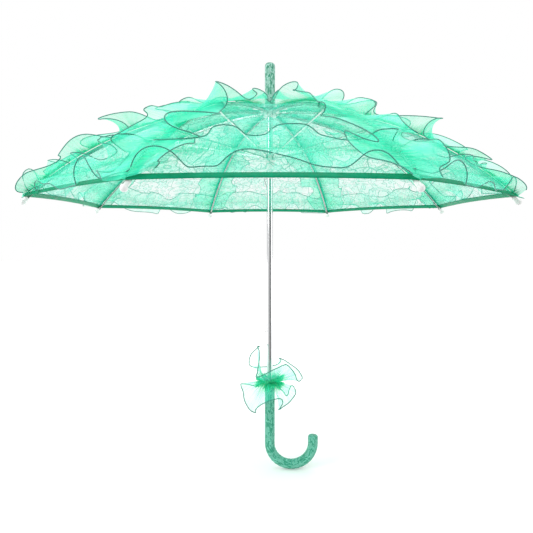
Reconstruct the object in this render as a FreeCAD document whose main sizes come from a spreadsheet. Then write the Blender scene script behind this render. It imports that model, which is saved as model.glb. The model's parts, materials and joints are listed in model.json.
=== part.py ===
import FreeCAD, Part
import os
import Sketcher

# A lace parasol, open, standing on its own axis: +Z runs up the shaft, the handle's hook points to +X, and the
# origin is the middle of the handle's straight grip.  Eight ribs are arcs of one circle whose centre is on the
# shaft.  Each rib hinges on a wire in the crown hub, and each stretcher hinges on a rib and on a wire in the
# runner, at equal distances, so that the runner slides straight down the shaft while the ribs fold.

FreeCAD.newDocument("lace_parasol")
doc = FreeCAD.ActiveDocument

SIZES = [
    ("rib_count", 8, "ribs, stretchers and canopy gores"),
    ("shaft_d", 10, "outer diameter of the shaft tube"),
    ("shaft_wall", 0.8, "wall of the shaft tube"),
    ("shaft_foot", 8, "height of the tube's lower end, inside the handle"),
    ("shaft_head", 558, "height of the tube's upper end, inside the ferrule"),
    ("crown_top", 491.5, "height where the ribs' circle crosses the shaft's axis"),
    ("arc_radius", 508, "radius of every rib's centre line"),
    ("rib_reach", 360, "distance of a rib's end from the axis, open"),
    ("rib_width", 3.2, "width of the fluted rib"),
    ("rib_depth", 2.8, "height of the fluted rib"),
    ("rib_wall", 0.5, "sheet thickness of the fluted rib"),
    ("rib_start", 17, "distance from the axis where the flute begins"),
    ("pivot_radius", 8, "radius of the wire rings that the ribs and stretchers turn on"),
    ("wire_d", 1, "diameter of the wire rings"),
    ("wire_hole_d", 1.3, "hole in each eye for the wire"),
    ("eye_plate", 1.6, "thickness of the flattened eyes"),
    ("eye_radius", 1.7, "radius of the flattened eyes"),
    ("bar_height", 2.2, "height of a stretcher, and of the plate behind each eye"),
    ("hub_radius", 11, "outer radius of the crown hub and of the runner's flange"),
    ("hub_above", 3.5, "hub above the wire ring"),
    ("hub_below", 4.5, "hub below the wire ring"),
    ("slot_width", 2, "width of the hub's radial slots"),
    ("slot_floor", 5.9, "radius of the floor of those slots"),
    ("joint_reach", 175, "distance of the rib and stretcher joint from the axis, open"),
    ("joint_drop", 3.6, "joint's pivot below the rib's centre line"),
    ("stretcher_width", 2.8, "width of a stretcher"),
    ("stretcher_start", 9.5, "where the full-width stretcher begins, from the runner's wire"),
    ("rivet_d", 1.4, "joint rivet"),
    ("rivet_hole_d", 1.5, "stretcher's hole for the rivet"),
    ("joiner_gap", 3.24, "inside width of the joiner"),
    ("joiner_wall", 0.6, "side wall of the joiner"),
    ("joiner_length", 8, "joiner along the rib"),
    ("runner_bore", 5.08, "radius of the runner's bore"),
    ("runner_sleeve", 7, "outer radius of the runner's sleeve"),
    ("runner_length", 34, "runner below its wire ring"),
    ("runner_collar", 8.4, "radius of the finger collar at the runner's foot"),
    ("window_low", 27.5, "lower edge of the runner's window below its wire ring"),
    ("window_high", 10, "upper edge of that window below its wire ring"),
    ("window_width", 4, "width of that window"),
    ("catch_width", 2.6, "width of a catch spring"),
    ("catch_slot", 3, "width of the shaft's slot for a catch"),
    ("catch_length", 34, "catch spring from its foot to its tooth"),
    ("catch_foot", 0.55, "radius of that spring's rolled foot, on its hinge line"),
    ("catch_reach", 9, "tooth's distance from the shaft's axis"),
    ("lower_tooth", 135.2, "height of the lower catch's tooth"),
    ("tip_ball", 4, "radius of a rib tip's ball"),
    ("tip_socket", 2.9, "radius of a rib tip's socket"),
    ("tip_bore", 2.2, "radius of the bore in that socket"),
    ("tip_length", 7, "length of that bore"),
    ("canopy_gap", 2.6, "canopy above the ribs' centre line"),
    ("canopy_cloth", 0.6, "thickness of the canopy's stand-in cloth"),
    ("canopy_start", 12, "distance of a gore's upper end from the axis"),
    ("canopy_reach", 352, "distance of the canopy's hem from the axis, on a rib"),
    ("seam_gap", 0.4, "half the gap between two gores"),
    ("trim_gap", 5.2, "ruffle above the ribs' centre line"),
    ("trim_width", 20, "half the width of a ruffle along a rib"),
    ("trim_height", 30, "height of that ruffle"),
    ("trim_cloth", 0.5, "thickness of the ruffles' stand-in cloth"),
    ("trim_start", 6, "angle round the ribs' circle where a ruffle begins, clear of the next ones"),
    ("trim_end", 47.6, "angle where it ends, just past the rib's tip"),
    ("ring_gap", 5, "ring ruffle above the canopy"),
    ("ring_inner", 298, "inner reach of the ring ruffle, on a rib"),
    ("ring_outer", 348, "outer reach of the ring ruffle, on a rib"),
    ("ring_side_gap", 26, "ring ruffle's end to the next rib's plane"),
    ("ferrule_foot", 495, "height of the ferrule's lower end"),
    ("ferrule_shoulder", 566.2, "height where the ferrule's rounding begins"),
    ("ferrule_radius", 7.7, "radius of the ferrule's core"),
    ("ferrule_round", 5, "radius of that rounding"),
    ("lace_wrap", 0.6, "thickness of the lace wraps"),
    ("handle_radius", 7.9, "radius of the handle's core"),
    ("handle_half", 56, "half the straight length of the handle"),
    ("hook_radius", 36.5, "radius of the hook's centre line"),
    ("hook_rise", 13.5, "hook's end above the centre of its bend"),
    ("hook_round", 2.4, "rounding of the hook's end"),
    ("frill_inner", 8.8, "inner radius of the handle's frill"),
    ("frill_outer", 50, "outer radius of the handle's frill"),
    ("frill_middle", 51, "height of the line on which the frill is gathered"),
    ("frill_rise", 30, "frill's edges above and below that line"),
    ("frill_cloth", 1, "thickness of the frill's stand-in cloth"),
]

dims = doc.addObject("Spreadsheet::Sheet", "dims")
for row, (alias, size, meaning) in enumerate(SIZES, start=1):
    dims.set(f"A{row}", str(size))
    dims.setAlias(f"A{row}", alias)
    dims.set(f"B{row}", meaning)
doc.recompute()

# Places that follow from the sizes, as expressions of the sheet
HALF_GORE = "(180 / dims.rib_count)"
ARC_CENTRE = "(dims.crown_top - dims.arc_radius)"
HUB_PIVOT = "sqrt(dims.arc_radius ^ 2 - dims.pivot_radius ^ 2)"
JOINT_RADIUS = "(dims.arc_radius - dims.joint_drop)"
JOINT_HEIGHT = f"sqrt({JOINT_RADIUS} ^ 2 - dims.joint_reach ^ 2)"
RUNNER_PIVOT = f"(2 * {JOINT_HEIGHT} - {HUB_PIVOT})"
STRETCHER_RUN = "(dims.joint_reach - dims.pivot_radius)"
STRETCHER_RISE = f"({HUB_PIVOT} - {JOINT_HEIGHT})"
STRETCHER_LENGTH = f"sqrt({STRETCHER_RUN} ^ 2 + {STRETCHER_RISE} ^ 2)"
UPPER_TOOTH = f"({ARC_CENTRE} + {RUNNER_PIVOT} - dims.runner_length - 0.4)"
# A gore is flat from rib to rib, so it is part of a cylinder through the crown and the hem's middle
CLOTH_RADIUS = "(dims.arc_radius + dims.canopy_gap)"
HEM_OUT = f"(dims.canopy_reach * cos({HALF_GORE}))"
HEM_DROP = f"({CLOTH_RADIUS} - sqrt({CLOTH_RADIUS} ^ 2 - dims.canopy_reach ^ 2))"
GORE_RADIUS = f"(({HEM_OUT} ^ 2 + {HEM_DROP} ^ 2) / (2 * {HEM_DROP}))"


def number(expression):
    """What an expression of the sheet comes to."""
    found = dims.evalExpression(str(expression))
    return float(getattr(found, "Value", found))


def drive(sketch, constraint, expression):
    """Adds a constraint to a sketch and binds it to an expression of the sheet."""
    index = sketch.addConstraint(constraint)
    sketch.setExpression(f"Constraints[{index}]", str(expression))


def fix_point(sketch, line, end, across, up):
    """Holds one point of a sketch at (across, up) from the sketch's origin."""
    drive(sketch, Sketcher.Constraint("DistanceX", line, end, number(across)), across)
    drive(sketch, Sketcher.Constraint("DistanceY", line, end, number(up)), up)


def add_outline(sketch, corners, closed=True):
    """A line through corners, each (across, up).  A corner with (radius, via_across, via_up) after it starts an
    arc of that radius which bulges past the via point."""
    points = [FreeCAD.Vector(number(c[0]), number(c[1]), 0) for c in corners]
    edges = []
    last = len(corners) if closed else len(corners) - 1
    for i in range(last):
        start, end = points[i], points[(i + 1) % len(points)]
        if len(corners[i]) == 2:
            edges.append((sketch.addGeometry(Part.LineSegment(start, end)), 1, 2))
            continue
        via = FreeCAD.Vector(number(corners[i][3]), number(corners[i][4]), 0)
        centre = Part.Circle(start, via, end).Center
        anticlockwise = (via - start).cross(end - via).z > 0
        first, second = (start, end) if anticlockwise else (end, start)
        turns = [FreeCAD.Vector(1, 0, 0).getAngle(p - centre) * (1 if p.y >= centre.y else -1)
                 for p in (first, second)]
        circle = Part.Circle(centre, FreeCAD.Vector(0, 0, 1), (start - centre).Length)
        arc = sketch.addGeometry(Part.ArcOfCircle(circle, turns[0], turns[1]))
        edges.append((arc, 1, 2) if anticlockwise else (arc, 2, 1))
    for here, after in zip(edges, edges[1:] + (edges[:1] if closed else [])):
        sketch.addConstraint(Sketcher.Constraint("Coincident", here[0], here[2], after[0], after[1]))
    for corner, (line, start, _) in zip(corners, edges):
        fix_point(sketch, line, start, corner[0], corner[1])
        if len(corner) > 2:
            drive(sketch, Sketcher.Constraint("Radius", line, number(corner[2])), corner[2])
    if not closed:
        fix_point(sketch, edges[-1][0], edges[-1][2], corners[-1][0], corners[-1][1])


def add_circle(sketch, across, up, radius):
    """A full circle at (across, up)."""
    middle = FreeCAD.Vector(number(across), number(up), 0)
    circle = sketch.addGeometry(Part.Circle(middle, FreeCAD.Vector(0, 0, 1), number(radius)))
    fix_point(sketch, circle, 3, across, up)
    drive(sketch, Sketcher.Constraint("Radius", circle, number(radius)), radius)


def new_body(name):
    """An empty PartDesign body."""
    return doc.addObject("PartDesign::Body", name)


def new_sketch(body, plane):
    """A sketch on one of the body's own origin planes."""
    sketch = body.newObject("Sketcher::SketchObject", f"{body.Name}_sketch")
    support = [p for p in body.Origin.OriginFeatures if p.Role == plane][0]
    sketch.AttachmentSupport = [(support, "")]
    sketch.MapMode = "FlatFace"
    return sketch


def add_pad(body, sketch, length, both_ways=True):
    """Extrudes a sketch, half to each side of its plane unless both_ways is off."""
    pad = body.newObject("PartDesign::Pad", f"{body.Name}_pad")
    pad.Profile = sketch
    pad.SideType = "Symmetric" if both_ways else "One side"
    pad.setExpression("Length", str(length))
    return pad


def add_pocket(body, sketch):
    """Cuts a sketch right through the body, to both sides of its plane."""
    pocket = body.newObject("PartDesign::Pocket", f"{body.Name}_pocket")
    pocket.Profile = sketch
    pocket.SideType = "Symmetric"
    pocket.Length = 200
    return pocket


def add_turning(body, sketch, axis, angle=360, kind="Revolution"):
    """Turns a sketch about its own horizontal (H_Axis) or vertical (V_Axis) axis."""
    turned = body.newObject(f"PartDesign::{kind}", f"{body.Name}_{kind.lower()}")
    turned.Profile = sketch
    turned.ReferenceAxis = (sketch, [axis])
    turned.setExpression("Angle", str(angle))
    return turned


def repeat_round(body, feature):
    """Repeats a feature round the shaft, once for each rib."""
    pattern = body.newObject("PartDesign::PolarPattern", f"{body.Name}_pattern")
    pattern.Originals = [feature]
    upright = [a for a in body.Origin.OriginFeatures if a.Role == "Z_Axis"][0]
    pattern.Axis = (upright, [""])
    pattern.Angle = 360
    pattern.setExpression("Occurrences", "dims.rib_count")
    body.Tip = pattern
    return pattern


def rib_azimuth(k):
    """Direction of rib k, in degrees from +X.  The gore that faces -Y has a rib to each side of it."""
    gore = 360 / number("dims.rib_count")
    return gore * (k - 0.5)


def on_rib_circle(azimuth, angle, radius):
    """A placement in a rib's plane: angle round the ribs' circle from the crown and radius from its centre.
    Its +X runs outwards along the rib and its +Z points away from the circle's centre."""
    turn = FreeCAD.Rotation(FreeCAD.Vector(0, 0, 1), azimuth)
    lean = FreeCAD.Rotation(FreeCAD.Vector(0, 1, 0), angle)
    centre = FreeCAD.Vector(0, 0, number(ARC_CENTRE))
    return FreeCAD.Placement(centre, turn) * FreeCAD.Placement(lean.multVec(FreeCAD.Vector(0, 0, radius)), lean)


def at_height(height):
    """A placement on the shaft's axis."""
    return FreeCAD.Placement(FreeCAD.Vector(0, 0, number(height)), FreeCAD.Rotation())


nodes = []


def add_node(shape_object, label, placement=None):
    """Names a finished sub-part, and puts it in its place."""
    shape_object.Label = label
    if placement is not None:
        shape_object.Placement = placement
    nodes.append(shape_object)


def cut(name, base, tool):
    """base with tool's volume taken away."""
    made = doc.addObject("Part::Cut", name)
    made.Base = base
    made.Tool = tool
    return made


def common(name, base, tool):
    """What base and tool share."""
    made = doc.addObject("Part::Common", name)
    made.Base = base
    made.Tool = tool
    return made


def upright_cylinder(name, radius, low, high):
    """A cylinder on the shaft's axis between two heights."""
    made = doc.addObject("Part::Cylinder", name)
    made.setExpression("Radius", str(radius))
    made.setExpression("Height", f"{high} - ({low})")
    made.setExpression("Placement.Base.z", str(low))
    return made


# Shaft: a steel tube with a slot for each catch spring on its -X side

def build_shaft():
    body = new_body("shaft")
    ring = new_sketch(body, "XY_Plane")
    add_circle(ring, 0, 0, "dims.shaft_d / 2")
    add_circle(ring, 0, 0, "dims.shaft_d / 2 - dims.shaft_wall")
    add_pad(body, ring, "dims.shaft_head - dims.shaft_foot", both_ways=False)
    for tooth, way in ((UPPER_TOOTH, -1), ("dims.lower_tooth", 1)):
        near = f"{tooth} - dims.shaft_foot - {way} * 1.5"
        far = f"{tooth} - dims.shaft_foot + {way} * 20"
        low, high = (far, near) if way < 0 else (near, far)
        box = doc.addObject("Part::Box", "catch_slot")
        box.setExpression("Length", "dims.shaft_d")
        box.setExpression("Width", "dims.catch_slot")
        box.setExpression("Height", f"({high}) - ({low})")
        box.setExpression("Placement.Base.x", "-dims.shaft_d")
        box.setExpression("Placement.Base.y", "-dims.catch_slot / 2")
        box.setExpression("Placement.Base.z", low)
        body = cut("slotted_shaft", body, box)
    add_node(body, "shaft_tube", at_height("dims.shaft_foot"))


def build_catch(label, tooth, upside_down):
    """A bent spring strip: its rolled foot turns inside the tube, and its tooth stands out of the slot."""
    body = new_body(label)
    side = new_sketch(body, "XZ_Plane")
    way = 1 if upside_down else -1
    reach, length = "dims.catch_reach", "dims.catch_length"
    strip = 0.7
    add_outline(side, [
        ("-3", f"{way} * {length}"),
        (reach, f"{way} * 2.8"),
        (reach, 0),
        (2, 0),
        (2, way * strip),
        (f"{reach} - {strip}", way * strip),
        (f"{reach} - {strip}", f"{way} * 2.6"),
        (f"-3 - {strip}", f"{way} * {length}"),
    ])
    add_pad(body, side, "dims.catch_width")
    foot = new_sketch(body, "XZ_Plane")
    add_circle(foot, f"-3 - {strip} / 2", f"{way} * {length}", "dims.catch_foot")
    add_pad(body, foot, "dims.catch_width")
    half_turn = FreeCAD.Rotation(FreeCAD.Vector(0, 0, 1), 180)
    add_node(body, label, FreeCAD.Placement(FreeCAD.Vector(0, 0, number(tooth)), half_turn))


# Crown hub and runner: turned rings with radial slots, each with its wire ring

def slot_all_round(body):
    """Cuts a radial slot for each rib, right through."""
    slot = new_sketch(body, "XY_Plane")
    half = "dims.slot_width / 2"
    add_outline(slot, [
        ("dims.slot_floor", f"-{half}"),
        ("dims.hub_radius + 2", f"-{half}"),
        ("dims.hub_radius + 2", half),
        ("dims.slot_floor", half),
    ])
    return repeat_round(body, slot_pocket(body, slot))


def slot_pocket(body, sketch):
    """A pocket as deep as the hub, so that a runner's sleeve stays whole below it."""
    pocket = body.newObject("PartDesign::Pocket", f"{body.Name}_slot")
    pocket.Profile = sketch
    pocket.SideType = "Symmetric"
    pocket.setExpression("Length", "2 * dims.hub_below")
    return pocket


def groove_for_wire(body):
    """A round channel that holds the wire ring."""
    channel = new_sketch(body, "XZ_Plane")
    add_circle(channel, "dims.pivot_radius", 0, "dims.wire_d / 2 + 0.02")
    return add_turning(body, channel, "V_Axis", kind="Groove")


def build_hub():
    body = new_body("hub")
    half = new_sketch(body, "XZ_Plane")
    bevel = 0.8
    add_outline(half, [
        ("dims.shaft_d / 2", "-dims.hub_below"),
        (f"dims.hub_radius - {bevel}", "-dims.hub_below"),
        ("dims.hub_radius", f"-dims.hub_below + {bevel}"),
        ("dims.hub_radius", f"dims.hub_above - {bevel}"),
        (f"dims.hub_radius - {bevel}", "dims.hub_above"),
        ("dims.shaft_d / 2", "dims.hub_above"),
    ])
    add_turning(body, half, "V_Axis")
    groove_for_wire(body)
    slot_all_round(body)
    first_rib = FreeCAD.Rotation(FreeCAD.Vector(0, 0, 1), rib_azimuth(1))
    height = number(f"{ARC_CENTRE} + {HUB_PIVOT}")
    add_node(body, "crown_hub", FreeCAD.Placement(FreeCAD.Vector(0, 0, height), first_rib))


def build_runner():
    body = new_body("slider")
    half = new_sketch(body, "XZ_Plane")
    bevel, collar = 0.8, 2.4
    add_outline(half, [
        ("dims.runner_bore", "-dims.runner_length"),
        ("dims.runner_collar", "-dims.runner_length"),
        ("dims.runner_collar", f"-dims.runner_length + {collar}"),
        ("dims.runner_sleeve", f"-dims.runner_length + {collar} + {bevel}"),
        ("dims.runner_sleeve", "-dims.hub_below - 3"),
        ("dims.hub_radius", "-dims.hub_below"),
        ("dims.hub_radius", f"dims.hub_above - {bevel}"),
        (f"dims.hub_radius - {bevel}", "dims.hub_above"),
        ("dims.runner_bore", "dims.hub_above"),
    ])
    add_turning(body, half, "V_Axis")
    groove_for_wire(body)
    slot_all_round(body)
    first_rib = FreeCAD.Rotation(FreeCAD.Vector(0, 0, 1), rib_azimuth(1))
    height = number(f"{ARC_CENTRE} + {RUNNER_PIVOT}")
    body.Placement = FreeCAD.Placement(FreeCAD.Vector(0, 0, height), first_rib)
    window = doc.addObject("Part::Box", "runner_window")
    window.setExpression("Length", "dims.runner_collar + 2")
    window.setExpression("Width", "dims.window_width")
    window.setExpression("Height", "dims.window_low - dims.window_high")
    window.setExpression("Placement.Base.x", "-dims.runner_collar - 2")
    window.setExpression("Placement.Base.y", "-dims.window_width / 2")
    window.setExpression("Placement.Base.z", f"{ARC_CENTRE} + {RUNNER_PIVOT} - dims.window_low")
    add_node(cut("windowed_runner", body, window), "runner")


def build_wire(label, height):
    """A closed wire ring that carries eight eyes."""
    ring = doc.addObject("Part::Torus", label)
    ring.setExpression("Radius1", "dims.pivot_radius")
    ring.setExpression("Radius2", "dims.wire_d / 2")
    add_node(ring, label, at_height(height))


# Ribs, with their tips and joiners

def eye_outline(sketch, radius, centre, end):
    """A plate with a round eye at centre, (across, up), that runs outwards to end, with the wire's hole."""
    across, up = centre
    half = "(dims.bar_height / 2)"
    neck = f"{across} + sqrt({radius} ^ 2 - {half} ^ 2)"
    add_outline(sketch, [
        (neck, f"{up} + {half}", radius, f"{across} - {radius}", up),
        (neck, f"{up} - {half}"),
        (end, f"{up} - {half}"),
        (end, f"{up} + {half}"),
    ])
    add_circle(sketch, across, up, "dims.wire_hole_d / 2")


def build_rib(k):
    body = new_body(f"rib_{k}")
    section = new_sketch(body, "YZ_Plane")
    lean = number("asin(dims.rib_start / dims.arc_radius)")
    section.AttachmentOffset = FreeCAD.Placement(
        FreeCAD.Vector(), FreeCAD.Rotation(FreeCAD.Vector(1, 0, 0), lean))
    side, wall = "dims.rib_width / 2", "dims.rib_wall"
    low, high = "dims.arc_radius - dims.rib_depth / 2", "dims.arc_radius + dims.rib_depth / 2"
    add_outline(section, [
        (f"-{side}", low),
        (f"-{side} + {wall}", low),
        (f"-{side} + {wall}", f"{high} - {wall}"),
        (f"{side} - {wall}", f"{high} - {wall}"),
        (f"{side} - {wall}", low),
        (side, low),
        (side, high),
        (f"-{side}", high),
    ])
    add_turning(body, section, "H_Axis", "asin(dims.rib_reach / dims.arc_radius) - "
                                         "asin(dims.rib_start / dims.arc_radius)")
    eye = new_sketch(body, "XZ_Plane")
    eye_outline(eye, "dims.eye_radius", ("dims.pivot_radius", f"{HUB_PIVOT}"), "dims.rib_start + 6")
    add_pad(body, eye, "dims.eye_plate")
    add_node(body, f"rib_{k}", on_rib_circle(rib_azimuth(k), 0, 0))


def build_tip(k):
    """A ball with a socket that is pushed over the rib's end."""
    body = new_body(f"tip_{k}")
    half = new_sketch(body, "XZ_Plane")
    ball, socket, bore, length = "dims.tip_ball", "dims.tip_socket", "dims.tip_bore", "dims.tip_length"
    neck = f"sqrt({ball} ^ 2 - {socket} ^ 2)"
    middle = 2.3
    add_outline(half, [
        (f"-{length}", bore),
        (f"-{length}", socket),
        (f"{middle} - {neck}", socket, ball, middle, ball),
        (f"{middle} + {ball}", 0),
        (0.2, 0),
        (0.2, bore),
    ])
    add_turning(body, half, "H_Axis")
    end = number("asin(dims.rib_reach / dims.arc_radius)")
    add_node(body, f"rib_tip_{k}", on_rib_circle(rib_azimuth(k), end, number("dims.arc_radius")))


def build_joiner(k):
    """A folded clip over the rib, whose two ears carry the stretcher's rivet."""
    body = new_body(f"clip_{k}")
    side = new_sketch(body, "XZ_Plane")
    half = "dims.joiner_length / 2"
    roof = "dims.joint_drop + dims.rib_depth / 2 + 0.02"
    ear = 1.9
    add_outline(side, [
        (f"-{half}", f"{roof} + 0.4"),
        (f"-{half}", 1.2),
        (-1.5, f"-{ear}"),
        (1.5, f"-{ear}"),
        (half, 1.2),
        (half, f"{roof} + 0.4"),
    ])
    add_pad(body, side, "dims.joiner_gap + 2 * dims.joiner_wall")
    inside = new_sketch(body, "YZ_Plane")
    wall = "dims.joiner_gap / 2"
    add_outline(inside, [
        (f"-{wall}", f"-{ear} - 1"),
        (wall, f"-{ear} - 1"),
        (wall, roof),
        (f"-{wall}", roof),
    ])
    add_pocket(body, inside)
    hole = new_sketch(body, "XZ_Plane")
    add_circle(hole, 0, 0, "dims.rivet_d / 2")
    add_pocket(body, hole)
    rivet = new_body(f"rivet_{k}")
    profile = new_sketch(rivet, "YZ_Plane")
    shank, head = "dims.rivet_d / 2", "dims.rivet_d / 2 + 0.5"
    face = "dims.joiner_gap / 2 + dims.joiner_wall"
    dome = 0.5
    add_outline(profile, [
        (f"-({face}) - {dome}", 0),
        (f"-({face}) - {dome}", shank),
        (f"-({face})", head),
        (f"-({face})", shank),
        (face, shank),
        (face, head),
        (f"{face} + {dome}", shank),
        (f"{face} + {dome}", 0),
    ])
    add_turning(rivet, profile, "H_Axis")
    pair = doc.addObject("Part::Compound", f"joiner_{k}")
    pair.Links = [body, rivet]
    angle = number(f"asin(dims.joint_reach / {JOINT_RADIUS})")
    add_node(pair, f"rib_joiner_{k}", on_rib_circle(rib_azimuth(k), angle, number(JOINT_RADIUS)))


def build_stretcher(k):
    """A flat bar from the runner's wire to the joiner's rivet, thinned to an eye at its inner end."""
    body = new_body(f"stretcher_{k}")
    eye = new_sketch(body, "XZ_Plane")
    eye_outline(eye, "dims.eye_radius", ("0", "0"), "dims.stretcher_start + 4")
    add_pad(body, eye, "dims.eye_plate")
    bar = new_sketch(body, "XZ_Plane")
    half, round_end = "(dims.bar_height / 2)", 1.8
    neck = f"{STRETCHER_LENGTH} - sqrt({round_end} ^ 2 - {half} ^ 2)"
    add_outline(bar, [
        ("dims.stretcher_start", half),
        (neck, half, round_end, f"{STRETCHER_LENGTH} + {round_end}", 0),
        (neck, f"-{half}"),
        ("dims.stretcher_start", f"-{half}"),
    ])
    add_circle(bar, STRETCHER_LENGTH, 0, "dims.rivet_hole_d / 2")
    add_pad(body, bar, "dims.stretcher_width")
    turn = FreeCAD.Rotation(FreeCAD.Vector(0, 0, 1), rib_azimuth(k))
    climb = FreeCAD.Rotation(FreeCAD.Vector(0, 1, 0), -number(f"asin({STRETCHER_RISE} / {STRETCHER_LENGTH})"))
    foot = turn.multVec(FreeCAD.Vector(number("dims.pivot_radius"), 0, 0))
    foot.z = number(f"{ARC_CENTRE} + {RUNNER_PIVOT}")
    add_node(body, f"stretcher_{k}", FreeCAD.Placement(foot, turn * climb))


# Canopy: a gore from each rib to the next, and the gathered ruffles along the seams and round the hem

def cloth_shell(name, inner, thickness):
    """A cylinder wall across the gore, through the crown when inner is GORE_RADIUS."""
    walls = []
    for part, radius in (("outside", f"{inner} + {thickness}"), ("inside", inner)):
        roll = doc.addObject("Part::Cylinder", f"{name}_{part}")
        roll.setExpression("Radius", radius)
        roll.setExpression("Height", "2 * dims.canopy_reach")
        roll.setExpression("Placement.Base.y", "dims.canopy_reach")
        roll.setExpression("Placement.Base.z", f"{CLOTH_RADIUS} - {GORE_RADIUS}")
        roll.Placement.Rotation = FreeCAD.Rotation(FreeCAD.Vector(1, 0, 0), 90)
        walls.append(roll)
    return cut(f"{name}_shell", *walls)


def gore_wedge(name, inner, outer, side_gap):
    """The upright block between two rib planes, from reach inner to reach outer on a rib."""
    body = new_body(name)
    plan = new_sketch(body, "XY_Plane")
    near, far = (f"{reach} * cos({HALF_GORE})" for reach in (inner, outer))
    near_side, far_side = (f"{reach} * sin({HALF_GORE}) - {side_gap}" for reach in (inner, outer))
    add_outline(plan, [
        (near, f"-({near_side})"),
        (far, f"-({far_side})"),
        (far, far_side),
        (near, near_side),
    ])
    add_pad(body, plan, "dims.arc_radius + 60", both_ways=False)
    return body


def gore_placement(k):
    """The frame of the gore between rib k and the next, +X along its middle."""
    return on_rib_circle(rib_azimuth(k) + number(HALF_GORE), 0, 0)


def build_gore(k):
    wedge = gore_wedge(f"gore_wedge_{k}", "dims.canopy_start", "dims.canopy_reach", "dims.seam_gap")
    shell = cloth_shell(f"gore_{k}", GORE_RADIUS, "dims.canopy_cloth")
    add_node(common(f"gore_{k}", shell, wedge), f"canopy_gore_{k}", gore_placement(k))


def build_ruffle(k):
    """The ruffle on seam k, a strip with a standing fin, and the ring ruffle's strip on the gore after it."""
    seam = new_body(f"seam_ruffle_{k}")
    section = new_sketch(seam, "YZ_Plane")
    section.AttachmentOffset = FreeCAD.Placement(
        FreeCAD.Vector(), FreeCAD.Rotation(FreeCAD.Vector(1, 0, 0), number("dims.trim_start")))
    base, side, cloth = "dims.arc_radius + dims.trim_gap", "dims.trim_width", "dims.trim_cloth"
    add_outline(section, [
        (f"-{side}", base),
        (side, base),
        (side, f"{base} + {cloth}"),
        (f"{cloth} / 2", f"{base} + {cloth}"),
        (f"{cloth} / 2", f"{base} + dims.trim_height"),
        (f"-{cloth} / 2", f"{base} + dims.trim_height"),
        (f"-{cloth} / 2", f"{base} + {cloth}"),
        (f"-{side}", f"{base} + {cloth}"),
    ])
    add_turning(seam, section, "H_Axis", "dims.trim_end - dims.trim_start")
    wedge = gore_wedge(f"ring_wedge_{k}", "dims.ring_inner", "dims.ring_outer", "dims.ring_side_gap")
    lifted = f"{GORE_RADIUS} + dims.canopy_cloth + dims.ring_gap"
    ring = common(f"ring_ruffle_{k}", cloth_shell(f"ring_{k}", lifted, "dims.trim_cloth"), wedge)
    ring.Placement = FreeCAD.Placement(
        FreeCAD.Vector(), FreeCAD.Rotation(FreeCAD.Vector(0, 0, 1), number(HALF_GORE)))
    pair = doc.addObject("Part::Compound", f"ruffles_{k}")
    pair.Links = [seam, ring]
    add_node(pair, f"canopy_ruffle_{k}", on_rib_circle(rib_azimuth(k), 0, 0))


# Ferrule: a plastic cap on the shaft's upper end, covered with lace

def ferrule_half(body, radius_extra, bore):
    """Half the ferrule's outline, grown by radius_extra."""
    half = new_sketch(body, "XZ_Plane")
    radius = f"dims.ferrule_radius + {radius_extra}"
    flat = "dims.ferrule_radius - dims.ferrule_round"
    rounding = f"dims.ferrule_round + {radius_extra}"
    add_outline(half, bore + [
        (radius, "dims.ferrule_foot"),
        (radius, "dims.ferrule_shoulder", rounding,
         f"{flat} + 0.707 * ({rounding})", f"dims.ferrule_shoulder + 0.707 * ({rounding})"),
        (flat, f"dims.ferrule_shoulder + {rounding}"),
        (0, f"dims.ferrule_shoulder + {rounding}"),
    ])
    add_turning(body, half, "V_Axis")
    return body


def build_ferrule():
    bored = [(0, "dims.shaft_head"), ("dims.shaft_d / 2", "dims.shaft_head"),
             ("dims.shaft_d / 2", "dims.ferrule_foot")]
    whole = [(0, "dims.ferrule_foot")]
    core = ferrule_half(new_body("ferrule"), 0, bored)
    inside = ferrule_half(new_body("ferrule_inside"), 0, whole)
    outside = ferrule_half(new_body("ferrule_outside"), "dims.lace_wrap", whole)
    add_node(core, "ferrule_core")
    add_node(cut("ferrule_lace", outside, inside), "ferrule_sleeve")


# Handle: a J-shaped core with a lace cover, and the gathered frill round its top

def hook_rod(name, radius, extra):
    """A round rod along the handle's J, extra longer at the hook's end, which is rounded."""
    body = new_body(name)
    section = new_sketch(body, "XY_Plane")
    add_circle(section, 0, 0, radius)
    path = new_sketch(body, "XZ_Plane")
    bend, low = "dims.hook_radius", "-2 * dims.handle_half"
    add_outline(path, [
        (0, 0),
        (0, low, bend, f"{bend} * 0.293", f"{low} - {bend} * 0.707"),
        (bend, f"{low} - {bend}", bend, f"{bend} * 1.707", f"{low} - {bend} * 0.707"),
        (f"2 * {bend}", low),
        (f"2 * {bend}", f"{low} + dims.hook_rise + {extra}"),
    ], closed=False)
    rod = body.newObject("PartDesign::AdditivePipe", f"{name}_pipe")
    rod.Profile = section
    rod.Spine = (path, [f"Edge{i}" for i in range(1, 5)])
    doc.recompute()
    end = max(range(len(rod.Shape.Edges)), key=lambda i: (
        rod.Shape.Edges[i].BoundBox.XMin > number(bend),
        rod.Shape.Edges[i].BoundBox.ZMin))
    rounded = body.newObject("PartDesign::Fillet", f"{name}_end")
    rounded.Base = (rod, [f"Edge{end + 1}"])
    rounded.setExpression("Radius", f"dims.hook_round + {extra}")
    body.setExpression("Placement.Base.z", "dims.handle_half")
    return body


def build_handle():
    core = hook_rod("handle", "dims.handle_radius", 0)
    cover = hook_rod("handle_outside", "dims.handle_radius + dims.lace_wrap", "dims.lace_wrap")
    bore = upright_cylinder("handle_bore", "dims.shaft_d / 2", "dims.shaft_foot", "dims.handle_half + 1")
    add_node(cut("bored_handle", core, bore), "handle_core")
    add_node(cut("handle_lace", cover, core), "handle_wrap")


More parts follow.
